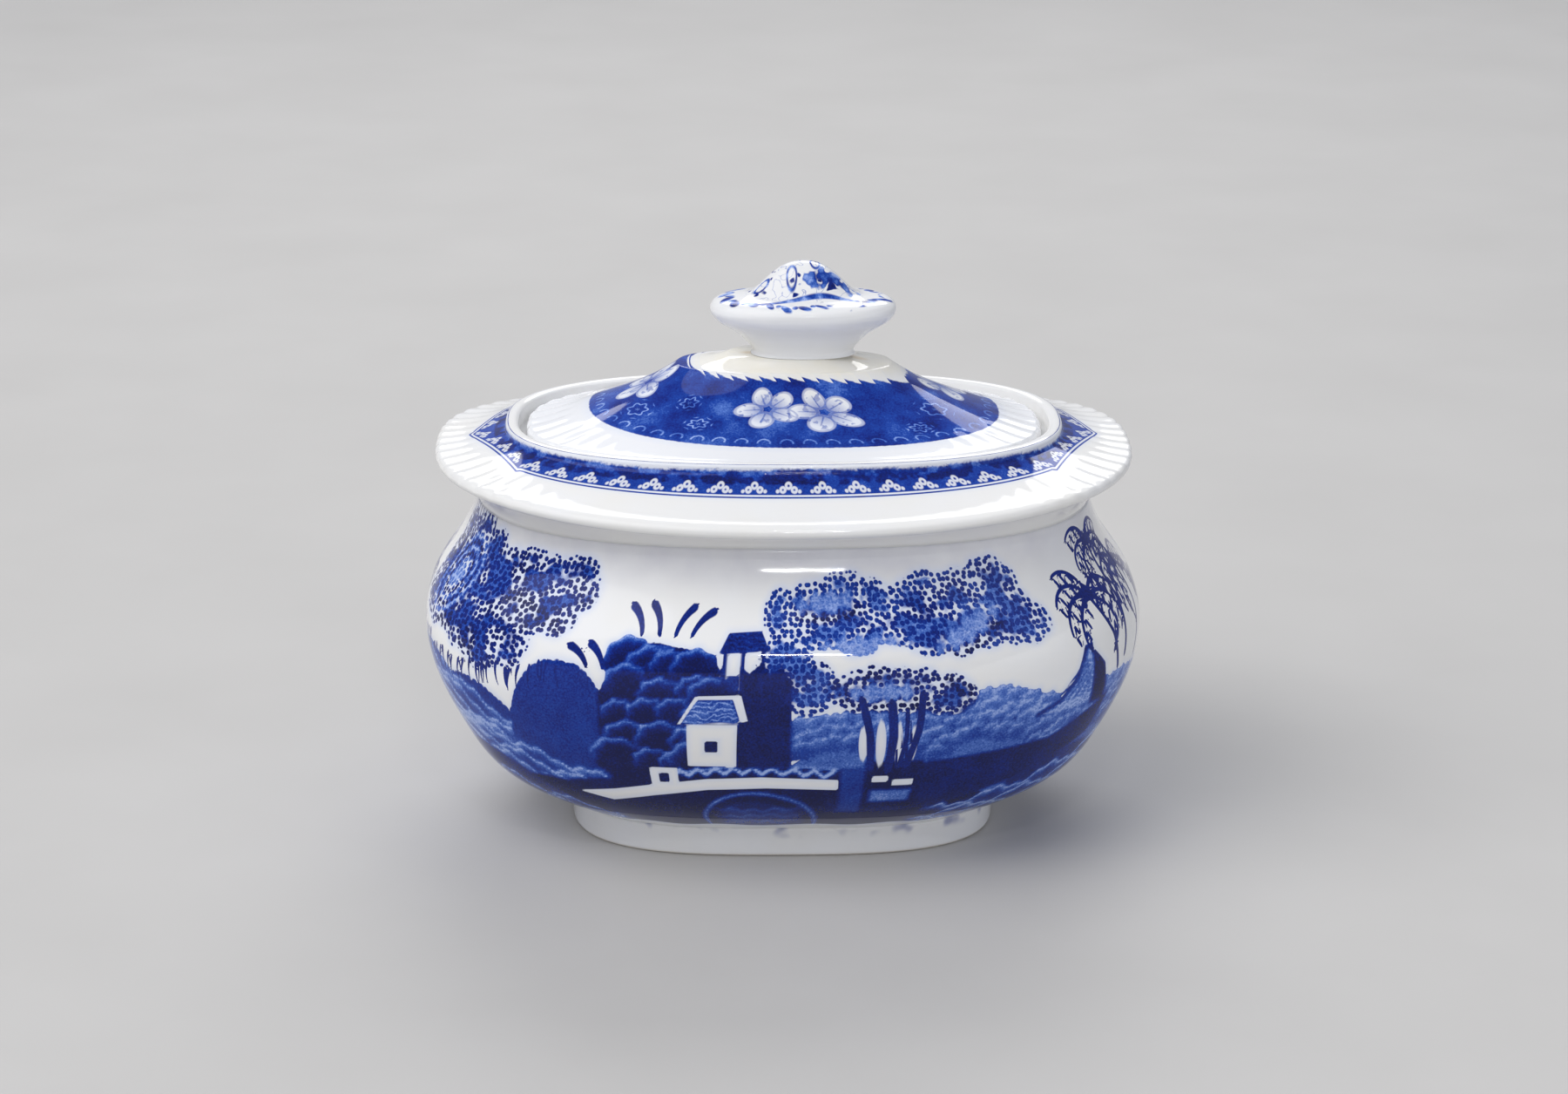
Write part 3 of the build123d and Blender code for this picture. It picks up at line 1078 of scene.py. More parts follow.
palm(78, 42, 73, 58, 7, 13)
palm(81, 44, 83, 67, 6, 12)
palm(88, 42, 93, 60, 7, 13)
palm(96, 40, 104, 54, 5, 10)
for i in range(9):
    tip = (-98.6 + i * 2.2, 74)
    canvas.stroke([(-98 + i * 2.2, 70 + random.uniform(-1, 1)), tip], 0.7, taper=0.7)
for x, lean in ((-32.4, 1.85), (-28.6, 1.70), (-25.0, 1.35), (-21.4, 1.15)):
    bend = 0.8 if lean > UPRIGHT else -0.8
    canvas.stroke(arc_points((x, 56.5), lean, 6.0, bend, 5), 0.9, taper=-0.9)
for x, lean in ((-43.0, 2.1), (-39.4, 1.9)):
    canvas.stroke(arc_points((x, 49.5), lean, 5.5, 0.8, 5), 0.9, taper=-0.9)
for i in range(26):
    x = -100 + i * 2.0 + random.uniform(-0.5, 0.5)
    y = 49.5 - 4.5 * math.sin((i + 3) / 29 * math.pi) + random.uniform(-1, 1.2)
    lean = -1.75 + random.uniform(-0.25, 0.25)
    canvas.stroke(arc_points((x, y), lean, 4.6, 0.5, 4), 0.8, taper=0.7)
print("lines drawn")

# %% [markdown]
# ## Storing the print
# The print stops a little above the foot, in a slightly wavy line, and only the
# outside carries it. Each quantity becomes an attribute of the body's points.

# %% Store the print
OUTSIDE_FROM = 0.97
print_end = 8.7 + 0.3 * np.sin(canvas.s / PRINT_WIDTH * 2 * np.pi * 9)
canvas.cut(canvas.h - print_end)
own_a, own_b, own_square = outline_at(canvas.h)
reach = np.abs(body_points[:, 0] / own_a) ** own_square + np.abs(body_points[:, 1] / own_b) ** own_square
hidden = reach < OUTSIDE_FROM
canvas.shape[hidden] = FAR
canvas.near[hidden] = FAR


def store(mesh, name, values):
    """Keeps a value for each of the mesh's points."""
    layer = mesh.attributes.new(name, "FLOAT", "POINT")
    layer.data.foreach_set("value", values.astype(np.float32))


for name in ("shape", "tone", "leafy", "lined", "side", "near"):
    store(body_mesh, name, getattr(canvas, name))
print("inked share", round(float((canvas.shape < 0).mean()), 3))

# %% [markdown]
# ## The body's finish
# The stored distances give the edge of the ink, and finer patterns give it the
# look of engraving: foliage breaks up into round leaves at its edges and inside
# it, and roofs and thatch are ruled with wavering lines. The light on hills and
# water is already in the stored darkness.


# %% Body finish
LEAF_SPACING = 1.25
LINE_SPACING = 1.15
LEAF_CUT = 0.75
INK_EDGE = 0.22
# Painted shade on the neck: the height from which the rim's shadow is painted in, and its grey-lilac
# tint
SHADOW_Z = 67.0
SHADOW_TINT = (0.62, 0.62, 0.71)


def body_finish():
    """Foliage, ruled lines and thin strokes from the stored distances, under the glaze."""
    material, tree, shader = new_material("printed_body")
    _, v = uv_fields(tree)
    (_, _, z), place = object_fields(tree)
    shape, tone, leafy = (attribute(tree, name) for name in ("shape", "tone", "leafy"))
    lined, side, near = (attribute(tree, name) for name in ("lined", "side", "near"))
    leaves = map_dots(tree, LEAF_SPACING)
    edge = shape + leafy * (leaves * 2.0 - LEAF_CUT)
    wander = noise(tree, place, 2.2, 2.0) * 3.2 + noise(tree, place, 9.0, 1.0) * 5.0
    lines = (v + wander).cycle(LINE_SPACING).size() - 0.2
    fine = noise(tree, place, 0.45, 1.0)
    gaps = (leaves * -1 + 0.56).inside(0.16) * (leafy * 1.8 - 0.8).more(0)
    airy = (noise(tree, place, 4.5, 1.0) * -1 + 0.54).inside(0.10)
    airy = airy.more((shape * -1 - 1.5).inside(0.8))
    ruled = lined * (lines.inside(0.25) * 0.30 - 0.08)
    ink_tone = tone - gaps * 0.38 + leafy * 0.10 - ruled + (fine - 0.5) * 0.30
    mass = edge.inside(INK_EDGE) * (gaps * airy * -1 + 1)
    thin = (side.size() - 1).inside(0.35) * (near - 0.30).inside(0.2)
    bleed = (shape.more(0) * 0.55).less(1) * -1 + 1
    ink = mass.more(thin)
    darkness = ink_tone * (thin * -1 + 1) + thin * 0.80
    base_colour = mix(tree, noise(tree, place, 12.0) * 0.35, WHITE, IVORY)
    # Painted shade: a mottled grey-lilac tint on the neck under the rim, standing in for the rim's
    # shadow
    painted_rim_shade = (z * -1 + SHADOW_Z).inside(10.0) * noise(tree, place, 6.0, 3.0)
    base_colour = mix(tree, painted_rim_shade * 0.8, base_colour, SHADOW_TINT)
    finish_glaze(tree, shader, base_colour, ink, darkness, bleed * bleed)
    return material


body_piece.data.materials.append(body_finish())
print("body finished")

# %% [markdown]
# ## The rim
# The rim is one ring: the underside sweeps out from the neck to an eased edge,
# the top slopes up to a collar, and inside the collar a ledge holds the lid.
# Its edge is gadrooned, that is, pressed into a row of small round flutes, and
# the edge hangs lower along the sides than at the ends. Each row below says how
# far it is from the edge, how high it is, how much of the dip it takes and how
# far the flutes stand out of it.

# %% Rim
RIM_SQUARE = 2.5
FLUTES = 82
EDGE_DIP = 4.0 * MM
flange = 15.0 * MM
collar_foot_z = collar_z - 2.0 * MM
edge_z = collar_foot_z - 3.2 * MM
edge_thick = 2.6 * MM
seat_z = collar_z - 4.2 * MM
flute_height = 0.40 * MM
collar_wall = 2.8 * MM
collar_ease = 0.8 * MM
ledge = 6.6 * MM
edge_in = 0.9 * MM
edge_round = 1.1 * MM
RIM_STEPS = 9


def rim_row(inset, height, dip_share=0.0, flute_share=0.0, side_inset=None):
    """A row of the rim, so far in from its edge."""
    side = inset if side_inset is None else side_inset
    lift = flute_height * flute_share
    spread = flute_height * 0.7 * flute_share * (inset < 2 * MM)
    return (rim_a - inset, rim_b - side, height, RIM_SQUARE, EDGE_DIP * dip_share, lift, spread)


rim_rows = []
for share in np.linspace(0, 1, 12):
    out = share**1.35
    height = neck_z + (edge_z - edge_thick - neck_z) * (1 - (1 - share) ** 1.3)
    inset = neck_in_a * (1 - out) + edge_in * out
    side_inset = neck_in_b * (1 - out) + edge_in * out
    rim_rows.append(rim_row(inset, height, out, 0.25 * out, side_inset))
for turn in np.linspace(-70, 80, 9):
    c, s = math.cos(math.radians(turn)), math.sin(math.radians(turn))
    height = edge_z - edge_thick / 2 + edge_thick / 2 * s
    rim_rows.append(rim_row(edge_round * (1 - c), height, 1, 0.55 + 0.4 * s))
for share in np.linspace(0.1, 0.985, 26):
    inset = flange * share
    height = edge_z + (collar_foot_z - edge_z) * (0.25 * share + 0.75 * share**2)
    flute_share = min(1.0, max(0.0, (0.62 - share) / 0.3))
    rim_rows.append(rim_row(inset, height, 1 - share**1.4, flute_share))
rim_rows.append(rim_row(flange, collar_foot_z + 0.5 * MM))
middle_inset = flange + collar_wall / 2
for turn in np.linspace(0, 180, 9):
    c, s = math.cos(math.radians(turn)), math.sin(math.radians(turn))
    height = collar_z - collar_ease + collar_ease * s
    rim_rows.append(rim_row(middle_inset - collar_wall / 2 * c, height))
pocket = flange + collar_wall
rim_rows += [
    rim_row(pocket, seat_z + 0.4 * MM),
    rim_row(pocket + 0.3 * MM, seat_z),
    rim_row(pocket + ledge - 0.4 * MM, seat_z),
    rim_row(pocket + ledge, seat_z - 0.5 * MM),
    rim_row(pocket + ledge, seat_z - 2.9 * MM),
    rim_row(pocket + ledge - 0.5 * MM, seat_z - 3.4 * MM),
    rim_row(13.0 * MM, neck_z, 0, 0, 12.0 * MM),
]
rim_piece, rim_run = turned_piece(
    "rim", rim_rows, FLUTES * RIM_STEPS, 14, closed=True, flutes=FLUTES, side_share=0.05
)

# %% [markdown]
# ## The rim's border
# A strip of cobalt lies against the collar. Its inner edge is feathered, a row
# of three-lobed flowers is left white in its outer half, and a white line and a
# thin blue one close it. At the two ends the strip is cut straight across. The
# pattern is worked out from the distance round the rim and the distance in from
# its edge, so it stays sharp however near one looks.


# %% Border places
EDGE_SEARCH = 30
FLANGE_END = 15.6
COLLAR_FROM = 14.5
COLLAR_END = 15.7
BORDER_LIMIT = 9.4
LIMIT_DROP = 3.2
ENDS_FROM = 56
ENDS_BLEND = 6
CHORD_X = 0.921
CHORD_Y = 0.391
CHORD_OUT = 62.8
BORDER_FLOWERS = 49


def inset_from_edge(points):
    """How far in from the rim's edge each point of a plan lies, in millimetres."""
    low, high = np.zeros(len(points)), np.full(len(points), 30.0)
    for _ in range(EDGE_SEARCH):
        guess = (low + high) / 2
        a, b = rim_a / MM - guess, rim_b / MM - guess
        reach = np.abs(points[:, 0] / a) ** RIM_SQUARE + np.abs(points[:, 1] / b) ** RIM_SQUARE
        outside = reach > 1
        high = np.where(outside, guess, high)
        low = np.where(outside, low, guess)
    return (low + high) / 2


rim_points = points_of(rim_piece.data)
rim_inset = inset_from_edge(rim_points)
lowest_top = edge_z / MM - 4.2
underneath = (rim_points[:, 2] < lowest_top - 0.5) | (rim_inset > FLANGE_END)
rim_inset[underneath] = -5
above_flange = rim_points[:, 2] > collar_foot_z / MM
on_collar = (rim_inset > COLLAR_FROM) & above_flange & (rim_inset < COLLAR_END)
rim_inset[on_collar] = 15 + (rim_points[on_collar, 2] - collar_foot_z / MM)
store(rim_piece.data, "inset", rim_inset)
near_end = np.clip((np.abs(rim_points[:, 0]) - ENDS_FROM) / ENDS_BLEND, 0, 1)
store(rim_piece.data, "limit", BORDER_LIMIT - LIMIT_DROP * near_end)
chord = CHORD_X * np.abs(rim_points[:, 0]) + CHORD_Y * np.abs(rim_points[:, 1]) - CHORD_OUT
store(rim_piece.data, "chord", np.where(near_end > 0, chord, -9.0))
flower_pitch = rim_run / MM / BORDER_FLOWERS
print("border flowers", BORDER_FLOWERS, "pitch", round(flower_pitch, 2))

# %% [markdown]
# ## The border's flowers
# A border flower is five small rings: three lobes with a dot at either side.
# The strip itself fades against the collar, where the ink pools and thins, and
# darker blots lie in its inner half.

# %% Rim finish
FLOWER_RINGS = (
    (0, 0.90, 0.80), (-1.4, -0.05, 0.74), (1.4, -0.05, 0.74), (-2.7, -0.4, 0.32), (2.7, -0.4, 0.32),
)
STRIP_END = 15.7
FLOWER_OUT = 2.1
WHITE_LINE_OUT = 0.62


def rim_finish():
    """The blue border strip with its flowers and lines, under the glaze."""
    material, tree, shader = new_material("printed_rim")
    u, _ = uv_fields(tree)
    inset = attribute(tree, "inset")
    _, place = object_fields(tree)
    feather = noise(tree, place, 0.7, 2.0) * 0.9 - 0.45
    step = noise(tree, place, 16.0, 0.0).math("SNAP", 0.16) * 3.0 - 1.4
    straight = attribute(tree, "chord")
    inner = inset - STRIP_END + feather + step * 0.5
    outer = (inset * -1 + attribute(tree, "limit")).more(straight)
    strip = inner.inside(0.8) * outer.inside(0.2)
    white_line = ((outer + WHITE_LINE_OUT).size() - 0.22).inside(0.2)
    x = u.cycle(flower_pitch)
    y = (outer * -1) - FLOWER_OUT
    lobes = None
    for px, py, r in FLOWER_RINGS:
        lobe = distance(x - px, y - py) - r
        ring = (lobe + 0.18).size() - 0.23
        lobes = ring if lobes is None else lobes.less(ring)
    flower = (lobes - noise(tree, place, 1.1) * 0.16).inside(0.3)
    ink = strip * (white_line.more(flower * 0.88) * -1 + 1)
    blobs = (noise(tree, place, 3.2, 2.0) * -1 + 0.48).inside(0.12) * (inset * -1 + 12.6).inside(0.6)
    tone = 0.56 + noise(tree, place, 1.6, 2.0) * 0.3 - 0.15 + blobs * 0.32 - (inner + 1.6).more(0) * 0.22
    bleed = (outer * 0.6).more(0).less(1) * -1 + 1
    ground = mix(tree, noise(tree, place, 14.0) * 0.5, WHITE, IVORY)
    finish_glaze(tree, shader, ground, ink, tone, bleed * bleed * 0.5)
    return material


rim_piece.data.materials.append(rim_finish())
print("rim finished")

# %% [markdown]
# ## The lid
# The lid is a fluted flange round a low dome, with a ring under it that drops
# into the bowl's mouth. It is turned in one go from the middle of the crown,
# out over the flange, under it, round the ring and back to the middle of the
# hollow, so it closes at a pole above and a pole below.

# %% Lid
LID_FLUTES = 54
DOME_SQUARE = 2.4
lid_edge_z = seat_z + 3.2 * MM
dome_foot_z = lid_edge_z + 2.6 * MM
dome_foot_a = lid_a - 10.5 * MM
dome_foot_b = lid_b - 7.0 * MM
dome_top_z = dome_foot_z + 10.6 * MM
crown_a, crown_b = 23.0 * MM, 10.0 * MM
lid_flute = 0.30 * MM
lid_edge_round = 1.1 * MM
verge_ease = 0.6 * MM
verge_wall = 3.2 * MM
LID_STEPS = 13


def dome_row(share, inset=0.0):
    """A row of the dome, from its foot at 0 to the crown's edge at 1."""
    reach = share + 0.10 * math.sin(math.pi * share)
    return (
        dome_foot_a + (crown_a - dome_foot_a) * reach - inset,
        dome_foot_b + (crown_b - dome_foot_b) * reach - inset,
        dome_foot_z + (dome_top_z - dome_foot_z) * share - inset / 2,
        DOME_SQUARE,
    )


landing_a, landing_b = 12.0 * MM, 7.0 * MM
lid_rows = [(0, 0, crown_z, DOME_SQUARE), (6 * MM, 3.5 * MM, crown_z, DOME_SQUARE)]
for share in np.linspace(0, 0.94, 12):
    level = dome_top_z + (crown_z - dome_top_z) * (1 - share) ** 2.2
    a = landing_a + (crown_a - landing_a) * share
    b = landing_b + (crown_b - landing_b) * share
    lid_rows.append((a, b, level, DOME_SQUARE))
lid_rows += [dome_row(share) for share in np.linspace(1, 0, 56)]
for share in np.linspace(0.06, 1, 18):
    square = DOME_SQUARE + (RIM_SQUARE - DOME_SQUARE) * share
    flute_share = min(1.0, share / 0.35)
    lid_rows.append((
        dome_foot_a + (lid_a - 1.0 * MM - dome_foot_a) * share,
        dome_foot_b + (lid_b - 1.0 * MM - dome_foot_b) * share,
        dome_foot_z + (lid_edge_z - dome_foot_z) * (1 - (1 - share) ** 1.25),
        square, 0, lid_flute * flute_share, 0,
    ))
for turn in np.linspace(70, -80, 8):
    c, s = math.cos(math.radians(turn)), math.sin(math.radians(turn))
    a = lid_a - lid_edge_round * (1 - c) - 0.3 * MM
    b = lid_b - lid_edge_round * (1 - c) - 0.3 * MM
    level = seat_z + 1.6 * MM + 1.6 * MM * s
    lid_rows.append((a, b, level, RIM_SQUARE, 0, lid_flute * max(0, s), lid_flute * 0.6))
verge_a, verge_b = lid_a - 6.1 * MM, lid_b - 6.1 * MM
lid_rows += [
    (verge_a + 0.3 * MM, verge_b + 0.3 * MM, seat_z, RIM_SQUARE),
    (verge_a, verge_b, seat_z - 0.4 * MM, RIM_SQUARE),
    (verge_a, verge_b, verge_z + verge_ease, RIM_SQUARE),
    (verge_a - verge_ease, verge_b - verge_ease, verge_z, RIM_SQUARE),
    (verge_a - verge_wall + verge_ease, verge_b - verge_wall + verge_ease, verge_z, RIM_SQUARE),
    (verge_a - verge_wall, verge_b - verge_wall, verge_z + verge_ease, RIM_SQUARE),
    (verge_a - verge_wall, verge_b - verge_wall, seat_z, RIM_SQUARE),
]
lid_rows += [dome_row(share, 3.4 * MM) for share in np.linspace(0, 1, 10)]
lid_rows.append((0, 0, dome_top_z - 1.7 * MM, DOME_SQUARE))
lid_piece, lid_run = turned_piece(
    "lid", lid_rows, LID_FLUTES * LID_STEPS, 66, flutes=LID_FLUTES, side_share=0.04
)

# %% [markdown]
# ## Where the lid's print lies
# The print covers the dome from its foot to the crown. How far up it a point
# lies is found by halving: between the oval at the foot and the one at the top
# there is one that passes through the point, and its share is stored.

# %% Lid places
PRINT_FOOT = (44.3, 26.0)
PRINT_TOP = (23.0, 11.0)
PRINT_SHIFT = 2.2
RISE_SEARCH = 26
lid_mesh = lid_piece.data
lid_points = points_of(lid_mesh)
low_share, high_share = np.full(len(lid_points), -0.6), np.full(len(lid_points), 1.8)
for _ in range(RISE_SEARCH):
    share = (low_share + high_share) / 2
    long = PRINT_FOOT[0] - (PRINT_FOOT[0] - PRINT_TOP[0]) * share
    wide = PRINT_FOOT[1] - (PRINT_FOOT[1] - PRINT_TOP[1]) * share
    power = DOME_SQUARE + 0.5 * np.clip(share, 0, 1)
    along = np.abs((lid_points[:, 0] - PRINT_SHIFT) / long) ** power
    beyond = along + np.abs(lid_points[:, 1] / wide) ** power > 1
    high_share = np.where(beyond, share, high_share)
    low_share = np.where(beyond, low_share, share)
share_up = np.where(lid_points[:, 2] < lid_edge_z / MM - 0.5, -0.5, share)
store(lid_mesh, "rise", share_up)
print("points on the lid's print", int(((share_up > 0) & (share_up < 1)).sum()))

# %% [markdown]
# ## The lid's print
# The dome is a band of mottled cobalt between the flange and the crown. A lace
# of small scallops runs along its foot and a saw-toothed edge round the crown.
# White five-petalled flowers lie on the slopes, with small rosettes drawn in
# line between them. A flower is drawn as one oval petal. Folding the angle
# round its middle into five equal parts repeats the petal five times.


# %% Lid finish
SLOPE = 18.8
LACE_PITCH = 4.6
DOME_SCALE = 0.62
SHOULDERS_FROM = 21
IVORY_REACH = 25
STAIN = (0.66, 0.50, 0.30)
LID_FLOWERS = (
    (-3.2, 11.9, 5.6, 0.5), (6.4, 11.2, 6.1, 1.9), (-32.5, 11.4, 6.2, 0.2), (37.0, 11.4, 6.2, 1.2),
    (65.0, 11.6, 5.8, 0.8), (-66.5, 11.0, 6.1, 1.6),
)
LID_ROSETTES = (
    (-24.5, 6.5, 3.0), (-17.5, 12.0, 2.3), (-13.0, 6.5, 2.2), (24.5, 9.5, 3.4), (18.5, 5.0, 2.0),
    (49.0, 8.5, 3.2), (56.0, 12.5, 2.2), (-45.0, 8.0, 3.2), (-54.0, 11.5, 2.6),
)


def petals(x, y, size, turn, count=5, narrow=0.34):
    """A flower as a signed field: below zero on its petals. Also how far out each point is."""
    far = distance(x, y)
    around = (y.math("ARCTAN2", x) + turn).cycle(2 * math.pi / count)
    along = far * around.math("COSINE") - size * 0.58
    beside = far * around.math("SINE")
    petal = (distance(along / (size * 0.44), beside / (size * narrow)) - 1) * (size * narrow)
    return petal, far / size, beside.size()


def lid_finish():
    """The dome's band with its flowers, rosettes and lace, under the glaze."""
    material, tree, shader = new_material("printed_lid")
    u, _ = uv_fields(tree)
    (x, y, _), place = object_fields(tree)
    rise = attribute(tree, "rise")
    height = rise * SLOPE
    whole_turn = lid_run / MM * DOME_SCALE
    w = u * DOME_SCALE
    wobble = (noise(tree, place, 1.0, 2.0) - 0.5) * 0.5
    tooth = (x * 0.33 + height * 0.25).math("FRACT")
    top = height - SLOPE + tooth * 1.0 - 0.7 + (x.size() - SHOULDERS_FROM).more(0) * 0.3
    foot = height * -1 + wobble * 0.7
    band = (top + wobble).inside(0.35) * foot.inside(0.3)
    pale, core, veins = None, None, None
    speckle = (noise(tree, place, 1.5, 1.0) * -1 + 0.60).inside(0.08)
    for px, py, size, turn in LID_FLOWERS:
        petal, out, beside = petals((w - px).cycle(whole_turn), height - py, size, turn)
        shape = petal.inside(0.3)
        heart = shape * ((out * -1 + 0.78).more(0) * 1.9).less(1)
        heart = heart.more(shape * speckle * (out - 0.86).inside(0.2))
        middle_vein = (beside - 0.12).inside(0.25) * (out - 0.72).inside(0.1)
        vein = shape * middle_vein.more((petal + 0.35).inside(0.3) * -1 + 1)
        pale = shape if pale is None else pale.more(shape)
        core = heart if core is None else core.more(heart)
        veins = vein if veins is None else veins.more(vein)
    rings = None
    for px, py, size in LID_ROSETTES:
        across = (w - px).cycle(whole_turn)
        far = distance(across, height - py)
        ruffle = ((height - py).math("ARCTAN2", across) * 6).math("COSINE") * 0.28
        ring = ((far + ruffle).cycle(size * 0.55).size() - 0.20).more(far - size)
        rings = ring if rings is None else rings.less(ring)
    lace_x = u.cycle(LACE_PITCH)
    lace = (distance(lace_x, (height - 1.6) * 1.1) - 1.25).size() - 0.22
    lace = lace.inside(0.3) * (height * -1 + 1.3).inside(0.4)
    drawn = rings.inside(0.25).more(lace * 0.8)
    blots = noise(tree, place, 7.0, 3.0)
    tone = 0.58 + (blots - 0.5) * 1.3
    tone = tone * (pale * -1 + 1) + pale * 0.42 - drawn * 0.50 * (pale * -1 + 1)
    white = pale * (core * 0.62 + veins * 0.45).less(0.85) * -1 + pale
    ink = band * (white * -1 + 1)
    bleed = (top.more(foot) * 0.5).more(0).less(1) * -1 + 1
    near_knob = (distance(x - knob_x / MM, y * 1.6) - IVORY_REACH).inside(16)
    ground = mix(tree, near_knob * (0.35 + noise(tree, place, 5.0) * 0.75), WHITE, IVORY)
    right_stain = (distance(x - 15.5, y * 2) - 2.2).inside(2.5)
    left_stain = (distance(x + 7.5, y * 2) - 1.8).inside(2.5)
    ground = mix(tree, right_stain.more(left_stain) * 0.5, ground, STAIN)
    finish_glaze(tree, shader, ground, ink, tone, bleed * 0.5)
    return material


lid_piece.data.materials.append(lid_finish())
print("lid finished")

# %% [markdown]
# ## The knob
# The knob is a waisted stem, an oblong disc with a rounded edge and a boss on
# top. It sits a little to one side, as it was luted on. Its profile is given as
# shares of its height and width, and a light smoothing rounds what the straight
# lines between them leave.

# %% Knob
KNOB_SQUARE = 2.3
PROFILE_STEPS = 96
SMOOTHINGS = 3
knob_tall = knob_top_z - crown_z
knob_profile = [
    (0.00, 0.00), (-0.004, 0.58), (0.02, 0.55), (0.06, 0.54), (0.137, 0.605), (0.22, 0.69),
    (0.275, 0.765), (0.324, 0.85), (0.36, 0.91), (0.40, 0.955), (0.45, 0.99), (0.49, 1.0),
    (0.53, 0.992), (0.565, 0.965), (0.592, 0.92), (0.608, 0.86), (0.617, 0.78), (0.624, 0.71),
    (0.637, 0.63), (0.660, 0.57), (0.70, 0.515), (0.75, 0.46), (0.81, 0.40), (0.87, 0.335),
    (0.93, 0.255), (0.972, 0.17), (0.993, 0.09), (1.0, 0.0),
]
steps = np.linspace(0, len(knob_profile) - 1, PROFILE_STEPS)
index = np.arange(len(knob_profile))
levels = np.interp(steps, index, [row[0] for row in knob_profile])
reaches = np.interp(steps, index, [row[1] for row in knob_profile])
knob_rows = [
    (knob_a * reach, knob_b * reach, crown_z + knob_tall * level, KNOB_SQUARE)
    for level, reach in zip(levels, reaches)
]
knob_piece, _ = turned_piece("knob_piece", knob_rows, 240, 45)
knob_mesh = knob_piece.data
bm = bmesh.new()
bm.from_mesh(knob_mesh)
bmesh.ops.translate(bm, verts=bm.verts, vec=(knob_x, 0, 0))
for _ in range(SMOOTHINGS):
    bmesh.ops.smooth_vert(
        bm, verts=bm.verts, factor=0.5, use_axis_x=True, use_axis_y=True, use_axis_z=True
    )
bm.to_mesh(knob_mesh)
bm.free()

# %% [markdown]
# ## The knob's print
# A ring of slanting leaves and berries runs round the brim, with gaps where the
# print has missed. Inside it a branch crosses the boss, with a spray, a few
# small rings and fine veins. The underside is left white.

# %% Knob finish
KNOB_RINGS = (
    (-2.6, -3.4, 1.0, 1.6), (2.4, -0.8, 1.0, 1.4), (-9.0, -2.0, 1.5, 1.0), (1.5, 3.6, 1.0, 1.5),
    (-5, 4.6, 1.4, 1.0),
)
LEAF_PITCH = 4.4
PRINT_FROM = 0.565
BRIM_END = 0.64
LEAF_COS = 0.85
LEAF_SIN = 0.53


def knob_finish():
    """The ring of leaves, the branch and the spray on the knob's upper side."""
    material, tree, shader = new_material("printed_knob")
    u, _ = uv_fields(tree)
    (x, y, z), place = object_fields(tree)
    px = x - knob_x / MM
    top = (z * -1 + (crown_z + knob_tall * PRINT_FROM) / MM).inside(0.6)
    blots = noise(tree, place, 2.4, 1.0)
    edge_band = (z - (crown_z + knob_tall * BRIM_END) / MM).inside(0.5)
    out = distance(px / (knob_a / MM), y / (knob_b / MM))
    leaf_x = u.cycle(LEAF_PITCH)
    leaf_y = (out - 0.86) * 14 + (u * 0.45).math("SINE") * 0.5
    leaf_long = leaf_x * LEAF_COS + leaf_y * LEAF_SIN
    leaf_wide = leaf_y * LEAF_COS - leaf_x * LEAF_SIN
    leaf = distance(leaf_long / 1.9, leaf_wide / 0.8) - 1
    berry_x = (u + LEAF_PITCH / 2).cycle(LEAF_PITCH)
    berry = distance(berry_x, leaf_y + 0.5) - 0.75
    kept = (noise(tree, place, 6.0, 1.0) * -1 + 0.41).inside(0.04)
    leaf = leaf.less(berry).inside(0.4) * edge_band * kept
    leaf = leaf.more((blots * -1 + 0.64).inside(0.05) * (edge_band * -1 + 1))
    veins = ((blots - 0.45).size() - 0.012).inside(0.02) * (edge_band * -1 + 1)
    rings = None
    for cx, cy, long, wide in KNOB_RINGS:
        ring = ((distance((px - cx) / long, (y - cy) / wide) - 1).size() - 0.20) * long
        rings = ring if rings is None else rings.less(ring)
    branch_y = y + 6.2 - (px * 0.16).math("SINE") * 1.0
    branch = (branch_y.size() - 0.42).inside(0.3) * (px.size() - 12).inside(1.0)
    spray = distance((px - 5.0) / 5.0, (y + 4.0 - px * 0.2) / 1.2) - 1
    spray = (spray + (blots - 0.5) * 3).inside(0.25)
    ink = top * leaf.more(rings.inside(0.3)).more(branch).more(spray).more(veins * 0.6)
    tone = 0.50 + (blots - 0.55) * 2.0
    ground = mix(tree, noise(tree, place, 8.0) * 0.25, WHITE, IVORY)
    finish_glaze(tree, shader, ground, ink, tone)
    return material


knob_piece.data.materials.append(knob_finish())
print("knob finished")

# %% [markdown]
# ## The foot's finish
# The foot carries no print, only smudges where ink ran down from the body. The
# edge that it stands on is a little worn and darker, because the glaze is wiped
# off there before firing.

# %% Foot finish
WORN_TINT = (0.62, 0.55, 0.44)


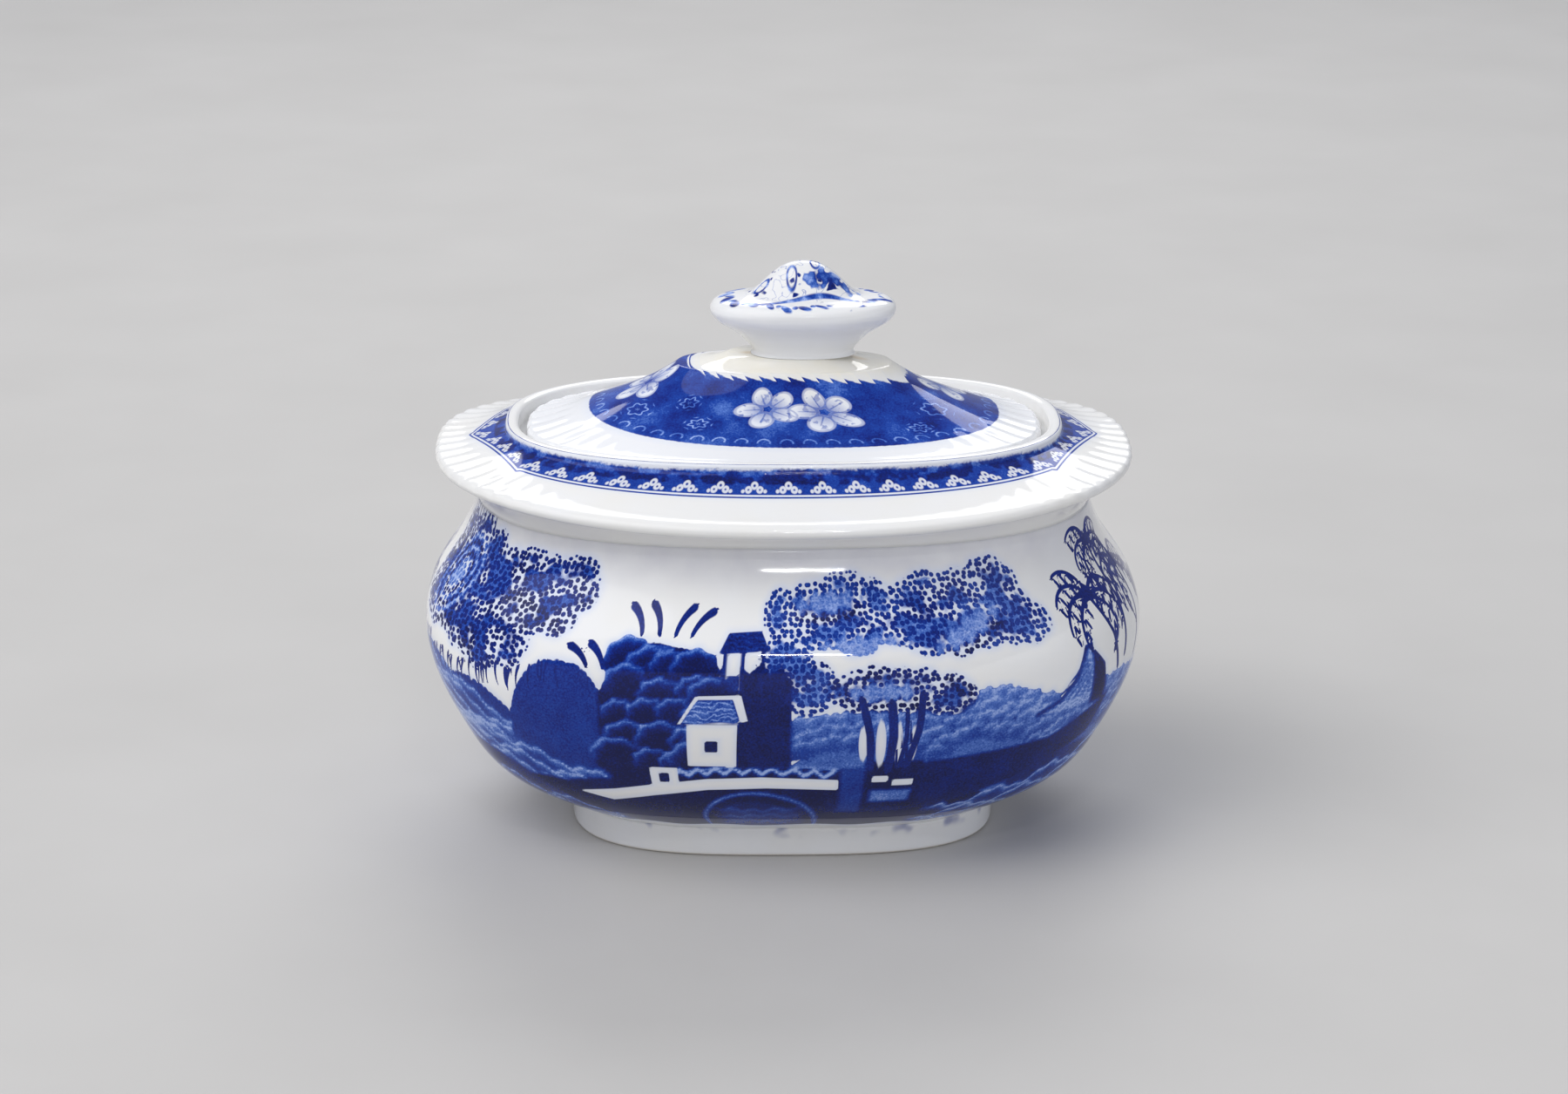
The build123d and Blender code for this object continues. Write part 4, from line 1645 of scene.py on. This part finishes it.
def foot_finish():
    """White glaze with smudges of ink above and a worn edge below."""
    material, tree, shader = new_material("glazed_foot")
    (_, _, z), place = object_fields(tree)
    smudge = (noise(tree, place, 5.0, 1.0) * -1 + 0.66).inside(0.20) * (z * -1 + 4.8).inside(2.0)
    ground = mix(tree, noise(tree, place, 10.0) * 0.3, WHITE, IVORY)
    worn = (z - 0.5).inside(0.6)
    ground = mix(tree, worn * 0.6, ground, WORN_TINT)
    tone = 0.45 + noise(tree, place, 2.0) * 0.2
    finish_glaze(tree, shader, ground, smudge * 0.6, tone)
    return material


foot_piece.data.materials.append(foot_finish())
print("foot finished")

# %% [markdown]
# ## Fitting the pieces to the bodies
# Each piece takes the place of its solid and rides on the bowl or the lid.

# %% Ride and replace
for piece, body, node, slot in (
    (body_piece, "bowl", "bowl_body", "glazed_body"),
    (foot_piece, "bowl", "foot_ring", "glazed_foot"),
    (rim_piece, "bowl", "rim_flange", "glazed_rim"),
    (lid_piece, "lid", "lid_cover", "glazed_lid"),
    (knob_piece, "lid", "knob", "glazed_knob"),
):
    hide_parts(node)
    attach(piece, body)
    print(piece.name, "stands for", node, "on", body)

# %% [markdown]
# ## The floor
# A plain pale floor, flat and six metres square, so that it fills the main view
# behind the bowl. A trace of cloudiness keeps it from being perfectly blank.

# %% Floor
FLOOR_COLOURS = ((0.50, 0.49, 0.475), (0.56, 0.55, 0.535))
bm = bmesh.new()
bmesh.ops.create_grid(bm, x_segments=2, y_segments=2, size=3.0)
floor_mesh = bpy.data.meshes.new("floor")
bm.to_mesh(floor_mesh)
bm.free()
floor = bpy.data.objects.new("floor", floor_mesh)
bpy.context.collection.objects.link(floor)
floor_material, floor_tree, floor_shader = new_material("floor")
_, floor_place = object_fields(floor_tree)
floor_clouds = noise(floor_tree, floor_place, 60.0, 3.0)
floor_colour = mix(floor_tree, floor_clouds, *FLOOR_COLOURS)
floor_tree.links.new(floor_colour, floor_shader.inputs["Base Color"])
floor_shader.inputs["Roughness"].default_value = 0.6
floor_mesh.materials.append(floor_material)
print("floor laid")
